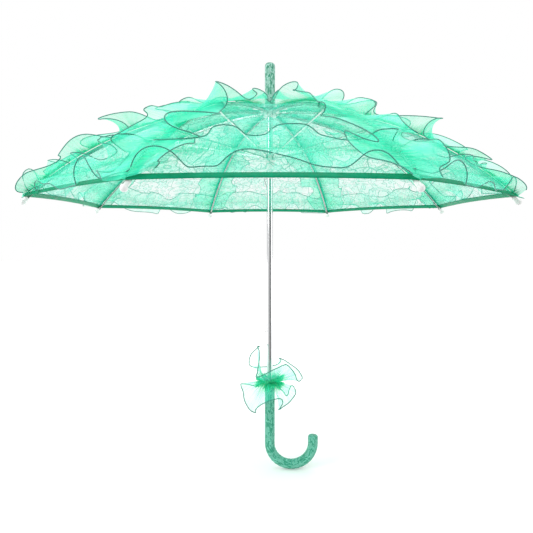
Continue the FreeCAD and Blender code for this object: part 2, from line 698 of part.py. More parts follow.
def build_frill():
    """Two thin cones back to back, as wide as the frill's loops."""
    body = new_body("frill")
    half = new_sketch(body, "XZ_Plane")
    inner, outer, rise, cloth = "dims.frill_inner", "dims.frill_outer", "dims.frill_rise", "dims.frill_cloth"
    add_outline(half, [
        (inner, f"-{cloth}"),
        (outer, f"-{rise}"),
        (outer, f"-{rise} + {cloth}"),
        (f"{inner} + 2 * {cloth}", 0),
        (outer, f"{rise} - {cloth}"),
        (outer, rise),
        (inner, cloth),
    ])
    add_turning(body, half, "V_Axis")
    add_node(body, "handle_frill", at_height("dims.frill_middle"))


build_shaft()
build_catch("top_catch", UPPER_TOOTH, upside_down=False)
build_catch("bottom_catch", "dims.lower_tooth", upside_down=True)
build_hub()
build_wire("hub_wire", f"{ARC_CENTRE} + {HUB_PIVOT}")
build_runner()
build_wire("runner_wire", f"{ARC_CENTRE} + {RUNNER_PIVOT}")
for rib in range(1, int(number("dims.rib_count")) + 1):
    build_rib(rib)
    build_tip(rib)
    build_joiner(rib)
    build_stretcher(rib)
    build_gore(rib)
    build_ruffle(rib)
build_ferrule()
build_handle()
build_frill()
doc.recompute()

for made in doc.Objects:
    if {"Invalid", "Error"} & set(made.State):
        raise RuntimeError(f"{made.Name} ({made.Label}) failed: {made.State}")
for node in nodes:
    if node.Shape.isNull() or not node.Shape.isValid() or not node.Shape.Solids:
        raise RuntimeError(f"{node.Label} has no valid solid")
os.makedirs("parts", exist_ok=True)
for node in nodes:
    node.Shape.exportStep(f"parts/{node.Label}.step")
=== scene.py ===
import json

import bpy
import numpy as np
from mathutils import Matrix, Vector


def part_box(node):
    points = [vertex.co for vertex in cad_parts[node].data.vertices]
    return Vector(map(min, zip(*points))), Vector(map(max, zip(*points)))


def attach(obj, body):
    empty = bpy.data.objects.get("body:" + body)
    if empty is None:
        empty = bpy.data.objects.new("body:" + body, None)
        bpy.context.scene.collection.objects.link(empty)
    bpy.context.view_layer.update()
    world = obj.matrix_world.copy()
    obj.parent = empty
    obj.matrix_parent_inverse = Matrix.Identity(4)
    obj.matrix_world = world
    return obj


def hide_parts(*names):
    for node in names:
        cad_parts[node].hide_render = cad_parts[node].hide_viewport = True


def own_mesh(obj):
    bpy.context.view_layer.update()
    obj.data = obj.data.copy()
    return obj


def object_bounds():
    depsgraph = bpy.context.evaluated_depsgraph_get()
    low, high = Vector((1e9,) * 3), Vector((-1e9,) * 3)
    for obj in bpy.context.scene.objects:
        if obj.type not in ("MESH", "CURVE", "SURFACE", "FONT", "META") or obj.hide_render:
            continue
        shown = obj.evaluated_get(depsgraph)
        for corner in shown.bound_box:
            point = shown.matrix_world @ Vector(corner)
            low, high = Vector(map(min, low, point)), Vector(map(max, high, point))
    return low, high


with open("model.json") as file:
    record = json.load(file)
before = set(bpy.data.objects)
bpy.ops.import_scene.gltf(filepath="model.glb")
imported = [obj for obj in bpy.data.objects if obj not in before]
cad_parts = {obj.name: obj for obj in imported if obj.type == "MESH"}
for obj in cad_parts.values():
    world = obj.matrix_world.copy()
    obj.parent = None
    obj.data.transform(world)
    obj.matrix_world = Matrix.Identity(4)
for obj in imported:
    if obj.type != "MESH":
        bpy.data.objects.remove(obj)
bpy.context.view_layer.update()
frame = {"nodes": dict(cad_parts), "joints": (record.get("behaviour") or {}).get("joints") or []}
nodes = frame["nodes"]
joints = {joint["name"]: joint for joint in frame["joints"]}

# ------------------------------------------------------------------------------------------------------------
# Shaft.  A drawn steel tube 10 mm thick, chrome plated.  The hub is pinned to its head, the runner slides on
# it and its foot is glued into the handle.  Drawing leaves faint lines along it.


def new_material(name, **settings):
    """A material with one Principled shader.  Each setting is a socket's name, with _ for its spaces."""
    material = bpy.data.materials.new(name)
    material.use_nodes = True
    shader = material.node_tree.nodes["Principled BSDF"]
    for socket, value in settings.items():
        shader.inputs[socket.replace("_", " ")].default_value = value
    return material, shader


def feed(tree, socket, value):
    """Gives a socket a plain value, or joins it to another node's output."""
    if isinstance(value, bpy.types.NodeSocket):
        tree.links.new(value, socket)
    else:
        socket.default_value = value


def place(tree, kind, choices=None, **inputs):
    """Adds one shader node.  Choices are its own settings, and inputs its sockets by name, with _ for
    spaces."""
    made = tree.nodes.new("ShaderNode" + kind)
    for choice, value in (choices or {}).items():
        setattr(made, choice, value)
    for socket, value in inputs.items():
        feed(tree, made.inputs[socket.replace("_", " ")], value)
    return made


def maths(tree, operation, *values):
    """One Math node's output."""
    made = place(tree, "Math", {"operation": operation})
    for socket, value in zip(made.inputs, values):
        feed(tree, socket, value)
    return made.outputs[0]


def between(tree, value, low, high, at_low=0.0, at_high=1.0):
    """A smooth step of value: at_low up to low, at_high from high on."""
    made = place(tree, "MapRange", {"interpolation_type": "SMOOTHSTEP"}, Value=value, From_Min=low,
                 From_Max=high, To_Min=at_low, To_Max=at_high)
    return made.outputs[0]


def tinted(tree, share, first, second):
    """The first colour where share is 0 and the second where it is 1."""
    made = place(tree, "Mix", {"data_type": "RGBA"})
    feed(tree, made.inputs[0], share)
    feed(tree, made.inputs[6], first)
    feed(tree, made.inputs[7], second)
    return made.outputs[2]


def bumped(tree, shader, height, depth):
    """Feeds the shader's Normal with a Bump of that height, where 1 is depth metres."""
    bump = place(tree, "Bump", Height=height, Distance=depth)
    tree.links.new(bump.outputs["Normal"], shader.inputs["Normal"])


def new_group(name, inputs, outputs):
    """An empty node group with those named sockets, and its two ends."""
    group = bpy.data.node_groups.new(name, "ShaderNodeTree")
    for socket, kind in inputs:
        group.interface.new_socket(socket, in_out="INPUT", socket_type="NodeSocket" + kind)
    for socket, kind in outputs:
        group.interface.new_socket(socket, in_out="OUTPUT", socket_type="NodeSocket" + kind)
    return group, group.nodes.new("NodeGroupInput"), group.nodes.new("NodeGroupOutput")


def use_group(tree, group, **inputs):
    """Places a node group in a tree."""
    made = place(tree, "Group", {"node_tree": group})
    for socket, value in inputs.items():
        feed(tree, made.inputs[socket.replace("_", " ")], value)
    return made


# Bright metal's surface: fine drawn lines along the stretched coordinate, and dull blotches from handling
drawn_metal, lines_in, lines_out = new_group(
    "Drawn metal", [("Vector", "Vector")], [("Lines", "Float"), ("Dulling", "Float")])
fine = place(drawn_metal, "TexNoise", Vector=lines_in.outputs["Vector"], Scale=1.0, Detail=3.0, Roughness=0.6)
blotch = place(drawn_metal, "TexNoise", Vector=lines_in.outputs["Vector"], Scale=0.035, Detail=2.0)
drawn_metal.links.new(fine.outputs[0], lines_out.inputs["Lines"])
drawn_metal.links.new(between(drawn_metal, blotch.outputs[0], 0.45, 0.75), lines_out.inputs["Dulling"])


def metal(name, colour, smooth, rough, stretch, depth):
    """Plated metal.  Its lines run along the axis with the smallest stretch, in lines a metre."""
    material, shader = new_material(name, Base_Color=(*colour, 1), Metallic=1.0, Specular_IOR_Level=0.6)
    tree = material.node_tree
    where = place(tree, "TexCoord")
    turned = place(tree, "Mapping", Vector=where.outputs["Object"], Scale=stretch)
    grain = use_group(tree, drawn_metal, Vector=turned.outputs[0])
    dull = between(tree, grain.outputs["Dulling"], 0.0, 1.0, smooth, rough)
    lined = maths(tree, "MULTIPLY_ADD", grain.outputs["Lines"], 0.08, dull)
    tree.links.new(lined, shader.inputs["Roughness"])
    bumped(tree, shader, grain.outputs["Lines"], depth)
    return material


def finish_node(name, material):
    """Gives a CAD node its finish, in every material slot it came with."""
    node = nodes[name]
    if not node.material_slots:
        node.data.materials.append(material)
    for place_in_node in node.material_slots:
        place_in_node.material = material


shaft_chrome = metal("shaft chrome", (0.86, 0.87, 0.88), 0.06, 0.16, (2600, 2600, 30), 0.000004)
finish_node("shaft_tube", shaft_chrome)

# ------------------------------------------------------------------------------------------------------------
# Crown hub, runner, wire rings and catches.  Hub and runner are turned from white plastic and slotted for the
# ribs' and stretchers' eyes, which are threaded on a ring of steel wire.  The catches are bent spring strip.

moulded, skin_in, skin_out = new_group(
    "Moulded skin", [("Vector", "Vector"), ("Speckle", "Float")],
    [("Height", "Float"), ("Handling", "Float")])
skin_place, speckle = skin_in.outputs["Vector"], skin_in.outputs["Speckle"]
specks = place(moulded, "TexNoise", Vector=skin_place, Scale=speckle, Detail=4.0)
touched = place(moulded, "TexNoise", Vector=skin_place, Scale=70.0, Detail=2.0)
moulded.links.new(specks.outputs[0], skin_out.inputs["Height"])
moulded.links.new(between(moulded, touched.outputs[0], 0.4, 0.7), skin_out.inputs["Handling"])


def plastic(name, clean, handled, gloss):
    """Moulded plastic with a fine speckle, a little duller and greyer where it is handled."""
    material, shader = new_material(name, Coat_Weight=0.25, Coat_Roughness=0.12, IOR=1.49)
    tree = material.node_tree
    where = place(tree, "TexCoord")
    surface_marks = use_group(tree, moulded, Vector=where.outputs["Object"], Speckle=2200.0)
    worn = surface_marks.outputs["Handling"]
    tree.links.new(tinted(tree, worn, (*clean, 1), (*handled, 1)), shader.inputs["Base Color"])
    tree.links.new(between(tree, worn, 0, 1, gloss, gloss + 0.14), shader.inputs["Roughness"])
    bumped(tree, shader, surface_marks.outputs["Height"], 0.00002)
    return material


white_plastic = plastic("white plastic", (0.86, 0.87, 0.86), (0.74, 0.76, 0.74), 0.22)
wire_steel = metal("wire steel", (0.62, 0.63, 0.64), 0.22, 0.38, (900, 900, 900), 0.00001)
for name in ("crown_hub", "runner"):
    finish_node(name, white_plastic)
for name in ("hub_wire", "runner_wire", "top_catch", "bottom_catch"):
    finish_node(name, wire_steel)

# ------------------------------------------------------------------------------------------------------------
# Ribs, stretchers, joiners and tips.  Each rib is nickel-plated strip, fluted for stiffness, with a flat eye
# at the hub and a riveted joiner for its stretcher.  A white ball tip is pushed on its end to hold the hem.

RIBS = range(1, 9)
rib_nickel = metal("rib nickel", (0.56, 0.60, 0.58), 0.16, 0.34, (700, 700, 700), 0.000012)
for k in RIBS:
    for name in (f"rib_{k}", f"stretcher_{k}", f"rib_joiner_{k}"):
        finish_node(name, rib_nickel)
    finish_node(f"rib_tip_{k}", white_plastic)

# ------------------------------------------------------------------------------------------------------------
# Ferrule.  A moulded cap on the shaft's head, and over it a sleeve of satin with lace on top, sewn tight.
# The sleeve laps over itself along its back and is gathered shut on the cap's end.  Its colour is painted
# darker towards its foot, as painted shade.


def surface(name, points, flat_places, material):
    """A mesh over a grid of points, with a face between every four neighbours.  flat_places gives each
    point's place on the flat cloth, in metres, and becomes the UV map.  Points that meet are merged, so poles
    close."""
    rows, columns = points.shape[:2]
    index = np.arange(rows * columns).reshape(rows, columns)
    ring = np.stack((index[:-1, :-1], index[:-1, 1:], index[1:, 1:], index[1:, :-1]), axis=-1)
    ring = ring.reshape(-1, 4)
    flat_points = points.reshape(-1, 3)
    _, first, merged = np.unique(np.round(flat_points, 7), axis=0, return_index=True,
                                 return_inverse=True)
    merged = first[merged.ravel()]
    corners = merged[ring]
    sides = corners != np.roll(corners, 1, axis=1)
    used = np.unique(corners)
    renumbered = np.zeros(len(flat_points), int)
    renumbered[used] = np.arange(len(used))
    counts = sides.sum(axis=1)
    kept = counts >= 3
    loops = renumbered[corners[kept][sides[kept]]]
    counts = counts[kept]
    mesh = bpy.data.meshes.new(name)
    mesh.vertices.add(len(used))
    mesh.vertices.foreach_set("co", flat_points[used].astype(np.float32).ravel())
    mesh.loops.add(len(loops))
    mesh.loops.foreach_set("vertex_index", loops.astype(np.int32))
    mesh.polygons.add(len(counts))
    starts = np.concatenate(([0], np.cumsum(counts)[:-1]))
    mesh.polygons.foreach_set("loop_start", starts.astype(np.int32))
    mesh.update(calc_edges=True)
    flat_map = mesh.uv_layers.new(name="cloth")
    flat_corners = flat_places.reshape(-1, 2)[ring[kept][sides[kept]]]
    flat_map.data.foreach_set("uv", flat_corners.astype(np.float32).ravel())
    mesh.validate()
    mesh.shade_smooth()
    mesh.materials.append(material)
    piece = bpy.data.objects.new(name, mesh)
    bpy.context.scene.collection.objects.link(piece)
    return piece


def unit(vectors):
    """Each vector at length 1."""
    return vectors / np.maximum(np.linalg.norm(vectors, axis=-1, keepdims=True), 1e-12)


def run_length(line):
    """The distance along a line of points, from its first."""
    steps = np.linalg.norm(np.diff(line, axis=0), axis=1)
    return np.concatenate(([0.0], np.cumsum(steps)))


# Fine net with embroidered flowers, leaves and stems.  The vector is the cloth's own place in metres, and a
# motif is 1 / Motifs across.  A flower's outline is a circle whose radius waves five times round it, and a
# leaf is a stretched disc with a line down its middle.
lace_work, net_in, net_out = new_group(
    "Embroidered net", [("Vector", "Vector"), ("Motifs", "Float")],
    [("Thread", "Float"), ("Filling", "Float"), ("Net", "Float")])


def lace_maths(operation, *values):
    """One Math node of the net's group."""
    return maths(lace_work, operation, *values)


def lace_line(value, low, high):
    """Full up to low from the middle of a line, and nothing from high on."""
    return between(lace_work, lace_maths("ABSOLUTE", value), low, high, 1.0, 0.0)


def lace_vector(operation, first, second=None, **inputs):
    """One Vector Math node of the net's group."""
    made = place(lace_work, "VectorMath", {"operation": operation}, Vector=first, **inputs)
    if second is not None:
        feed(lace_work, made.inputs[1], second)
    return made.outputs[0]


spread = lace_vector("SCALE", net_in.outputs["Vector"], Scale=net_in.outputs["Motifs"])
drift = place(lace_work, "TexNoise", {"noise_dimensions": "2D"}, Vector=spread, Scale=0.9, Detail=1.0)
centred = lace_vector("SUBTRACT", drift.outputs["Color"], (0.5, 0.5, 0.5))
bent = place(lace_work, "VectorMath", {"operation": "MULTIPLY_ADD"}, Vector=centred)
bent.inputs[1].default_value = (0.55, 0.55, 0.0)
feed(lace_work, bent.inputs[2], spread)
bent = bent.outputs[0]


def motif_offset(scale, randomness):
    """Where a point is from the middle of its motif: across, up, the distance and a number for the motif."""
    cells = place(lace_work, "TexVoronoi", {"voronoi_dimensions": "2D"}, Vector=bent, Scale=scale,
                  Randomness=randomness)
    gap = lace_vector("SUBTRACT", lace_vector("SCALE", bent, Scale=scale),
                      lace_vector("SCALE", cells.outputs["Position"], Scale=scale))
    apart = place(lace_work, "SeparateXYZ", Vector=gap)
    chance = place(lace_work, "SeparateColor", Color=cells.outputs["Color"])
    return apart.outputs[0], apart.outputs[1], cells.outputs["Distance"], chance.outputs[0]


def cell_edges(where, scale, randomness):
    """The distance from the lines of a net of uneven cells."""
    cells = place(lace_work, "TexVoronoi", {"voronoi_dimensions": "2D", "feature": "DISTANCE_TO_EDGE"},
                  Vector=where, Scale=scale, Randomness=randomness)
    return cells.outputs["Distance"]


FULL_TURN = 6.28
across, up, away, chance = motif_offset(1.0, 0.7)
bearing = lace_maths("ARCTAN2", up, across)
petal_turn = lace_maths("MULTIPLY_ADD", bearing, 5.0, lace_maths("MULTIPLY", chance, FULL_TURN))
petal_edge = lace_maths("MULTIPLY_ADD", lace_maths("COSINE", petal_turn), 0.075, 0.27)
from_edge = lace_maths("SUBTRACT", away, petal_edge)
petal = between(lace_work, from_edge, -0.01, 0.01, 1.0, 0.0)
petal_rim = lace_line(from_edge, 0.012, 0.04)
rays = lace_maths("COSINE", lace_maths("MULTIPLY_ADD", bearing, 25.0, petal_turn))
vein = lace_maths("MULTIPLY", between(lace_work, rays, 0.1, 0.8), petal)
heart = lace_line(lace_maths("SUBTRACT", away, 0.07), 0.008, 0.03)
leaf_across, leaf_up, _, leaf_chance = motif_offset(2.3, 0.9)
leaf_turn = lace_maths("MULTIPLY", leaf_chance, FULL_TURN)
cosine = lace_maths("COSINE", leaf_turn)
sine = lace_maths("SINE", leaf_turn)
lengthwise = lace_maths("ADD", lace_maths("MULTIPLY", leaf_across, cosine),
                        lace_maths("MULTIPLY", leaf_up, sine))
sidewise = lace_maths("SUBTRACT", lace_maths("MULTIPLY", leaf_up, cosine),
                      lace_maths("MULTIPLY", leaf_across, sine))
leaf_long = lace_maths("POWER", lace_maths("ABSOLUTE", lace_maths("DIVIDE", lengthwise, 0.46)), 2.0)
leaf_wide = lace_maths("ABSOLUTE", lace_maths("DIVIDE", sidewise, 0.2))
leaf_size = lace_maths("ADD", leaf_long, leaf_wide)
clear_of_flower = between(lace_work, from_edge, 0.02, 0.06)
leaf = lace_maths("MULTIPLY", between(lace_work, leaf_size, 0.9, 1.0, 1.0, 0.0), clear_of_flower)
leaf_rim = lace_line(lace_maths("SUBTRACT", leaf_size, 0.95), 0.06, 0.2)
leaf_rib = lace_maths("MULTIPLY", lace_line(sidewise, 0.012, 0.04), leaf)
stem = between(lace_work, cell_edges(bent, 1.3, 1.0), 0.012, 0.035, 1.0, 0.0)
greenery = lace_maths("MULTIPLY", lace_maths("MAXIMUM", leaf_rim, stem), clear_of_flower)
outlines = lace_maths("MAXIMUM", lace_maths("MAXIMUM", petal_rim, heart), greenery)
petal_filling = lace_maths("MULTIPLY_ADD", vein, 0.5, lace_maths("MULTIPLY", petal, 0.35))
filling = lace_maths("MAXIMUM", petal_filling, lace_maths("MULTIPLY", leaf, 0.5))
net = between(lace_work, cell_edges(spread, 17.0, 0.35), 0.05, 0.14, 1.0, 0.0)
thread = lace_maths("MAXIMUM", outlines, leaf_rib)
for socket, value in (("Thread", thread), ("Filling", filling), ("Net", net)):
    lace_work.links.new(value, net_out.inputs[socket])

# The cross-threads of a plain weave: two sets of ridges at right angles on the cloth's own coordinates
weave, weave_in, weave_out = new_group(
    "Plain weave", [("Vector", "Vector"), ("Threads", "Float")], [("Height", "Float")])
weave_place = place(weave, "VectorMath", {"operation": "SCALE"}, Vector=weave_in.outputs["Vector"],
                    Scale=weave_in.outputs["Threads"])
weave_parts = place(weave, "SeparateXYZ", Vector=weave_place.outputs[0])
warp_thread = maths(weave, "SINE", weave_parts.outputs[0])
weft_thread = maths(weave, "SINE", weave_parts.outputs[1])
weave.links.new(maths(weave, "MULTIPLY_ADD", maths(weave, "MULTIPLY", warp_thread, weft_thread), 0.5, 0.5),
                weave_out.inputs["Height"])


def cloth_map(tree):
    """The place on the flat cloth, in metres."""
    return place(tree, "UVMap", {"uv_map": "cloth"}).outputs[0]


def lace_cover(name, foot_low, foot_high, threads):
    """Satin with lace sewn over it: deep green between pale raised threads.  Between the two heights given,
    its colour is painted darker towards its foot, as painted shade.
    """
    material, shader = new_material(name, Sheen_Weight=0.15, Sheen_Roughness=0.4, Specular_IOR_Level=0.3,
                                    Sheen_Tint=(0.75, 1.0, 0.92, 1))
    tree = material.node_tree
    flat = cloth_map(tree)
    drawn_out = place(tree, "Mapping", Vector=flat, Scale=(1.5, 0.62, 1.0))
    lace = use_group(tree, lace_work, Vector=drawn_out.outputs[0], Motifs=80.0)
    ground = use_group(tree, weave, Vector=flat, Threads=9000.0)
    filled = maths(tree, "MULTIPLY", lace.outputs["Filling"], 1.5)
    raised = maths(tree, "MAXIMUM", lace.outputs["Thread"], filled)
    laced = maths(tree, "MAXIMUM", maths(tree, "MULTIPLY", raised, 0.95),
                  maths(tree, "MULTIPLY", lace.outputs["Net"], 0.45))
    height = place(tree, "SeparateXYZ", Vector=place(tree, "TexCoord").outputs["Object"]).outputs[2]
    # Painted shade: below the upper height the colour is mixed towards a dark green, up to 0.8 of the way.
    painted_foot_shade = between(tree, height, foot_low, foot_high, 0.8, 0.0)
    cloth = tinted(tree, laced, (0.001, 0.27, 0.15, 1), (*threads, 1))
    tree.links.new(tinted(tree, painted_foot_shade, cloth, (0.008, 0.13, 0.075, 1)), shader.inputs["Base Color"])
    tree.links.new(between(tree, laced, 0, 1, 0.32, 0.68), shader.inputs["Roughness"])
    relief = maths(tree, "MULTIPLY_ADD", ground.outputs[0], 0.08, laced)
    bumped(tree, shader, relief, 0.00035)
    return material


SLEEVE_CLOTH = 0.0003


def sleeve(name, line, normal, side, radius, material, lap=0.16, columns=56):
    """A cloth tube carried along a line: a circle of the given radius across it at every point.  It starts
    and ends at the back, on the side vector, where it laps over itself by lap radians, a cloth's thickness
    out."""
    around = np.linspace(0.5 * np.pi, 2.5 * np.pi + lap, columns)
    open_tube = radius[:, None] > 2 * SLEEVE_CLOTH
    lifted = radius[:, None] + SLEEVE_CLOTH * (around - around[0]) / (2 * np.pi) * open_tube
    across_line = (normal[:, None, :] * np.cos(around)[None, :, None]
                   + side[:, None, :] * np.sin(around)[None, :, None])
    points = line[:, None, :] + lifted[..., None] * across_line
    lengths = run_length(line)
    flat_places = np.stack(np.broadcast_arrays(around[None, :] * radius.max(), lengths[:, None]), axis=-1)
    return surface(name, points, flat_places, material)


ferrule_low, ferrule_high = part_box("ferrule_sleeve")
FERRULE_RADIUS = ferrule_high.x - SLEEVE_CLOTH
FERRULE_ROUND = 0.005
FERRULE_PUFF = 0.00025
FERRULE_DOME = 0.0006
bend = np.linspace(0, np.pi / 2, 14)
cap = np.linspace(1, 0, 7)[1:]
straight = np.linspace(ferrule_low.z, ferrule_high.z - FERRULE_ROUND, 40)
ferrule_heights = np.concatenate((straight, ferrule_high.z - FERRULE_ROUND * (1 - np.sin(bend[1:])),
                                  ferrule_high.z + FERRULE_DOME * (1 - cap ** 2)))
# The sewn satin pulls in a little where its gathers end, and puffs out at its foot
up_ferrule = straight - ferrule_low.z
puffed = FERRULE_RADIUS + FERRULE_PUFF * np.cos(up_ferrule / 0.011) * np.exp(-up_ferrule / 0.03)
ferrule_radii = np.concatenate((puffed, FERRULE_RADIUS - FERRULE_ROUND * (1 - np.cos(bend[1:])),
                                (FERRULE_RADIUS - FERRULE_ROUND) * cap))
ferrule_line = np.outer(ferrule_heights, (0, 0, 1.0))
ones = np.ones(len(ferrule_line))[:, None]
# Painted shade: the ferrule's colour darkens over the lowest 22 mm of its sleeve.
ferrule_cover = sleeve("ferrule_cover", ferrule_line, ones * (1.0, 0, 0), ones * (0, 1.0, 0), ferrule_radii,
                       lace_cover("ferrule lace over satin", ferrule_low.z + 0.002, ferrule_low.z + 0.022,
                                  (0.55, 0.84, 0.76)))
core_plastic = plastic("core plastic", (0.05, 0.35, 0.26), (0.04, 0.27, 0.20), 0.3)


def sewn_over(cover, node, core):
    """The cover is pulled over its core, and stands for the soft CAD node there."""
    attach(cover, "frame")
    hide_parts(node)
    finish_node(core, core_plastic)


sewn_over(ferrule_cover, "ferrule_sleeve", "ferrule_core")

# ------------------------------------------------------------------------------------------------------------
# Handle.  A moulded hook, and over it a long sleeve of the same satin and lace, lapped along the back and
# gathered shut over the hook's end.  It creases a little on the inside of the bend.

handle_low, handle_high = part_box("handle_wrap")
HANDLE_RADIUS = -handle_low.x - SLEEVE_CLOTH
HANDLE_HALF = handle_high.z
hook_radius = (handle_high.x - HANDLE_RADIUS) / 2
HOOK_END = -0.0425
HOOK_ROUND = 0.003
HOOK_DOME = 0.0005
CREASE_DEPTH = 0.00022
CREASE_LENGTH = 0.0011
grip_heights = np.linspace(HANDLE_HALF, -HANDLE_HALF, 90)
grip_line = np.column_stack((0 * grip_heights, 0 * grip_heights, grip_heights))
swing_angle = np.linspace(np.pi, 2 * np.pi, 110)[1:]
bend_line = np.column_stack((hook_radius * (1 + np.cos(swing_angle)), 0 * swing_angle,
                             hook_radius * np.sin(swing_angle) - HANDLE_HALF))
end_heights = np.linspace(-HANDLE_HALF, HOOK_END - HOOK_ROUND, 10)[1:]
end_line = np.column_stack((0 * end_heights + 2 * hook_radius, 0 * end_heights, end_heights))
round_heights = HOOK_END - HOOK_ROUND * (1 - np.sin(bend[1:]))
round_line = np.column_stack((0 * round_heights + 2 * hook_radius, 0 * round_heights, round_heights))
cap_line = np.column_stack((0 * cap + 2 * hook_radius, 0 * cap, HOOK_END + HOOK_DOME * (1 - cap ** 2)))
handle_line = np.concatenate((grip_line, bend_line, end_line, round_line, cap_line))
handle_normal = np.concatenate((
    np.tile((1.0, 0, 0), (len(grip_line), 1)),
    np.column_stack((-np.cos(swing_angle), 0 * swing_angle, -np.sin(swing_angle))),
    np.tile((-1.0, 0, 0), (len(end_line) + len(round_line) + len(cap_line), 1))))
handle_radii = np.concatenate((
    np.full(len(grip_line) + len(bend_line) + len(end_line), HANDLE_RADIUS),
    HANDLE_RADIUS - HOOK_ROUND * (1 - np.cos(bend[1:])), (HANDLE_RADIUS - HOOK_ROUND) * cap))
along_handle = run_length(handle_line)
in_bend = np.exp(-(((along_handle - 2 * HANDLE_HALF - 1.4 * hook_radius) / 0.045) ** 2))
creases = in_bend * (1 - np.cos(along_handle / CREASE_LENGTH)) * (handle_radii > 0.008)
handle_radii = handle_radii - CREASE_DEPTH * creases
handle_side = np.tile((0, 1.0, 0), (len(handle_line), 1))
# The handle's sleeve gets no painted shade at its foot, so the heights of that painted shade lie far below it
handle_cover = sleeve("handle_cover", handle_line, handle_normal, handle_side, handle_radii,
                      lace_cover("handle lace over satin", -9.0, -8.0, (0.22, 0.66, 0.51)))
sewn_over(handle_cover, "handle_wrap", "handle_core")

# ------------------------------------------------------------------------------------------------------------
# Canopy.  Eight gores of fine embroidered net, each sewn to the next along a rib and pulled flat between the
# two, with its hem cut in a shallow arch.  Each gore is made in two halves, so that both follow their own
# rib.

ARC_RADIUS = 0.508
CANOPY_REACH = 0.3585
CLOTH_LIFT = 0.0026
CROWN_REACH = 0.0092
HEM_ARCH = 0.0035
SAG = 0.0035
SOCKET_ANGLE = 0.742
SOCKET_LIFT = 0.0016
HALF_GORE = np.pi / 8
UP = np.array((0, 0, 1.0))


def fold_name(k):
    """The joint that folds rib k."""
    return "canopy_fold" if k == 1 else f"rib_{k}_fold"


first_hinge = joints["canopy_fold"]["pos_m"]
arc_height = first_hinge[2] - np.sqrt(ARC_RADIUS ** 2 - first_hinge[0] ** 2 - first_hinge[1] ** 2)
rib_azimuths = {}
for k in RIBS:
    hinge = joints[fold_name(k)]["pos_m"]
    rib_azimuths[k] = np.arctan2(hinge[1], hinge[0])
cloth_radius = ARC_RADIUS + CLOTH_LIFT
hem_angle = np.arcsin(CANOPY_REACH / cloth_radius)
crown_angle = np.arcsin(CROWN_REACH / cloth_radius)


def eased(share):
    """A smooth step: 0 up to a share of 0, and 1 from a share of 1 on."""
    share = np.clip(share, 0, 1)
    return share * share * (3 - 2 * share)


def outward(azimuth):
    """The level unit vector away from the shaft."""
    return np.stack((np.cos(azimuth), np.sin(azimuth), 0 * azimuth), axis=-1)


def canopy_point(azimuth, reach, beside, height):
    """A point at that reach from the shaft towards azimuth, beside that way, and at that height."""
    level = reach[..., None] * outward(azimuth) + beside[..., None] * outward(azimuth + np.pi / 2)
    return level + height[..., None] * UP


def gore_point(azimuth, share, angle, lift=0.0):
    """A point of the gore whose middle is at azimuth.  Share runs from -1 on one rib to 1 on the next, and
    angle is the one round the ribs' circle.  The cloth is straight from rib to rib, less a sag largest at its
    middle, and rises by SOCKET_LIFT where the tips' sockets lie under it."""
    radius = cloth_radius + lift + SOCKET_LIFT * eased((angle - SOCKET_ANGLE) / 0.03)
    slack = SAG * (1 - share ** 2) * np.sin(np.pi * np.clip(angle / hem_angle, 0, 1)) ** 2
    reach = radius * np.sin(angle) * np.cos(HALF_GORE) - slack * np.sin(angle)
    beside = radius * np.sin(angle) * np.sin(HALF_GORE) * share
    return canopy_point(azimuth, reach, beside, arc_height + (radius - slack) * np.cos(angle))


def hem_line_angle(share):
    """Where the hem is round the ribs' circle: it arches up between the ribs."""
    return hem_angle - HEM_ARCH / cloth_radius * (1 - share ** 2)


def cloth_noise(tree, where, scale, detail):
    """Uneven shading over the flat cloth: a noise from 0 to 1."""
    made = place(tree, "TexNoise", {"noise_dimensions": "2D"}, Vector=where, Scale=scale, Detail=detail)
    return made.outputs[0]


def coloured_and_glowing(tree, shader, colour):
    """The cloth's own colour, fed also to its emission: a painted glow in that colour, which stands for the
    light that comes through it.
    """
    tree.links.new(colour, shader.inputs["Base Color"])
    tree.links.new(colour, shader.inputs["Emission Color"])


# The lace glows a little in its own colour, a painted glow that brightens it as if lit through.
gore_lace, lace_shader = new_material("gore lace", Sheen_Weight=0.1, Sheen_Roughness=0.5, Roughness=0.7,
                                      Specular_IOR_Level=0.2, Emission_Strength=0.22)
tree = gore_lace.node_tree
lace_map = cloth_map(tree)
lace = use_group(tree, lace_work, Vector=lace_map, Motifs=27.0)
patch = between(tree, cloth_noise(tree, lace_map, 22.0, 2.0), 0.42, 0.62)
grazing = place(tree, "LayerWeight", Blend=0.35).outputs["Facing"]
# How much of the light the lace stops: a little everywhere, and more at each kind of thread
closed = 0.03
for cover, weight in ((lace.outputs["Net"], 0.12), (patch, 0.17), (lace.outputs["Filling"], 0.20),
                      (lace.outputs["Thread"], 0.45), (grazing, 0.20)):
    closed = maths(tree, "MULTIPLY_ADD", cover, weight, closed)
tree.links.new(maths(tree, "MINIMUM", closed, 0.95), lace_shader.inputs["Alpha"])
lace_colour = tinted(tree, lace.outputs["Thread"], (0.05, 0.72, 0.50, 1), (0.02, 0.40, 0.27, 1))
filled = maths(tree, "MULTIPLY", lace.outputs["Filling"], 0.8)
coloured_and_glowing(tree, lace_shader, tinted(tree, filled, lace_colour, (0.30, 0.86, 0.70, 1)))
relief = maths(tree, "MULTIPLY_ADD", lace.outputs["Net"], 0.3, lace.outputs["Thread"])
bumped(tree, lace_shader, relief, 0.0003)

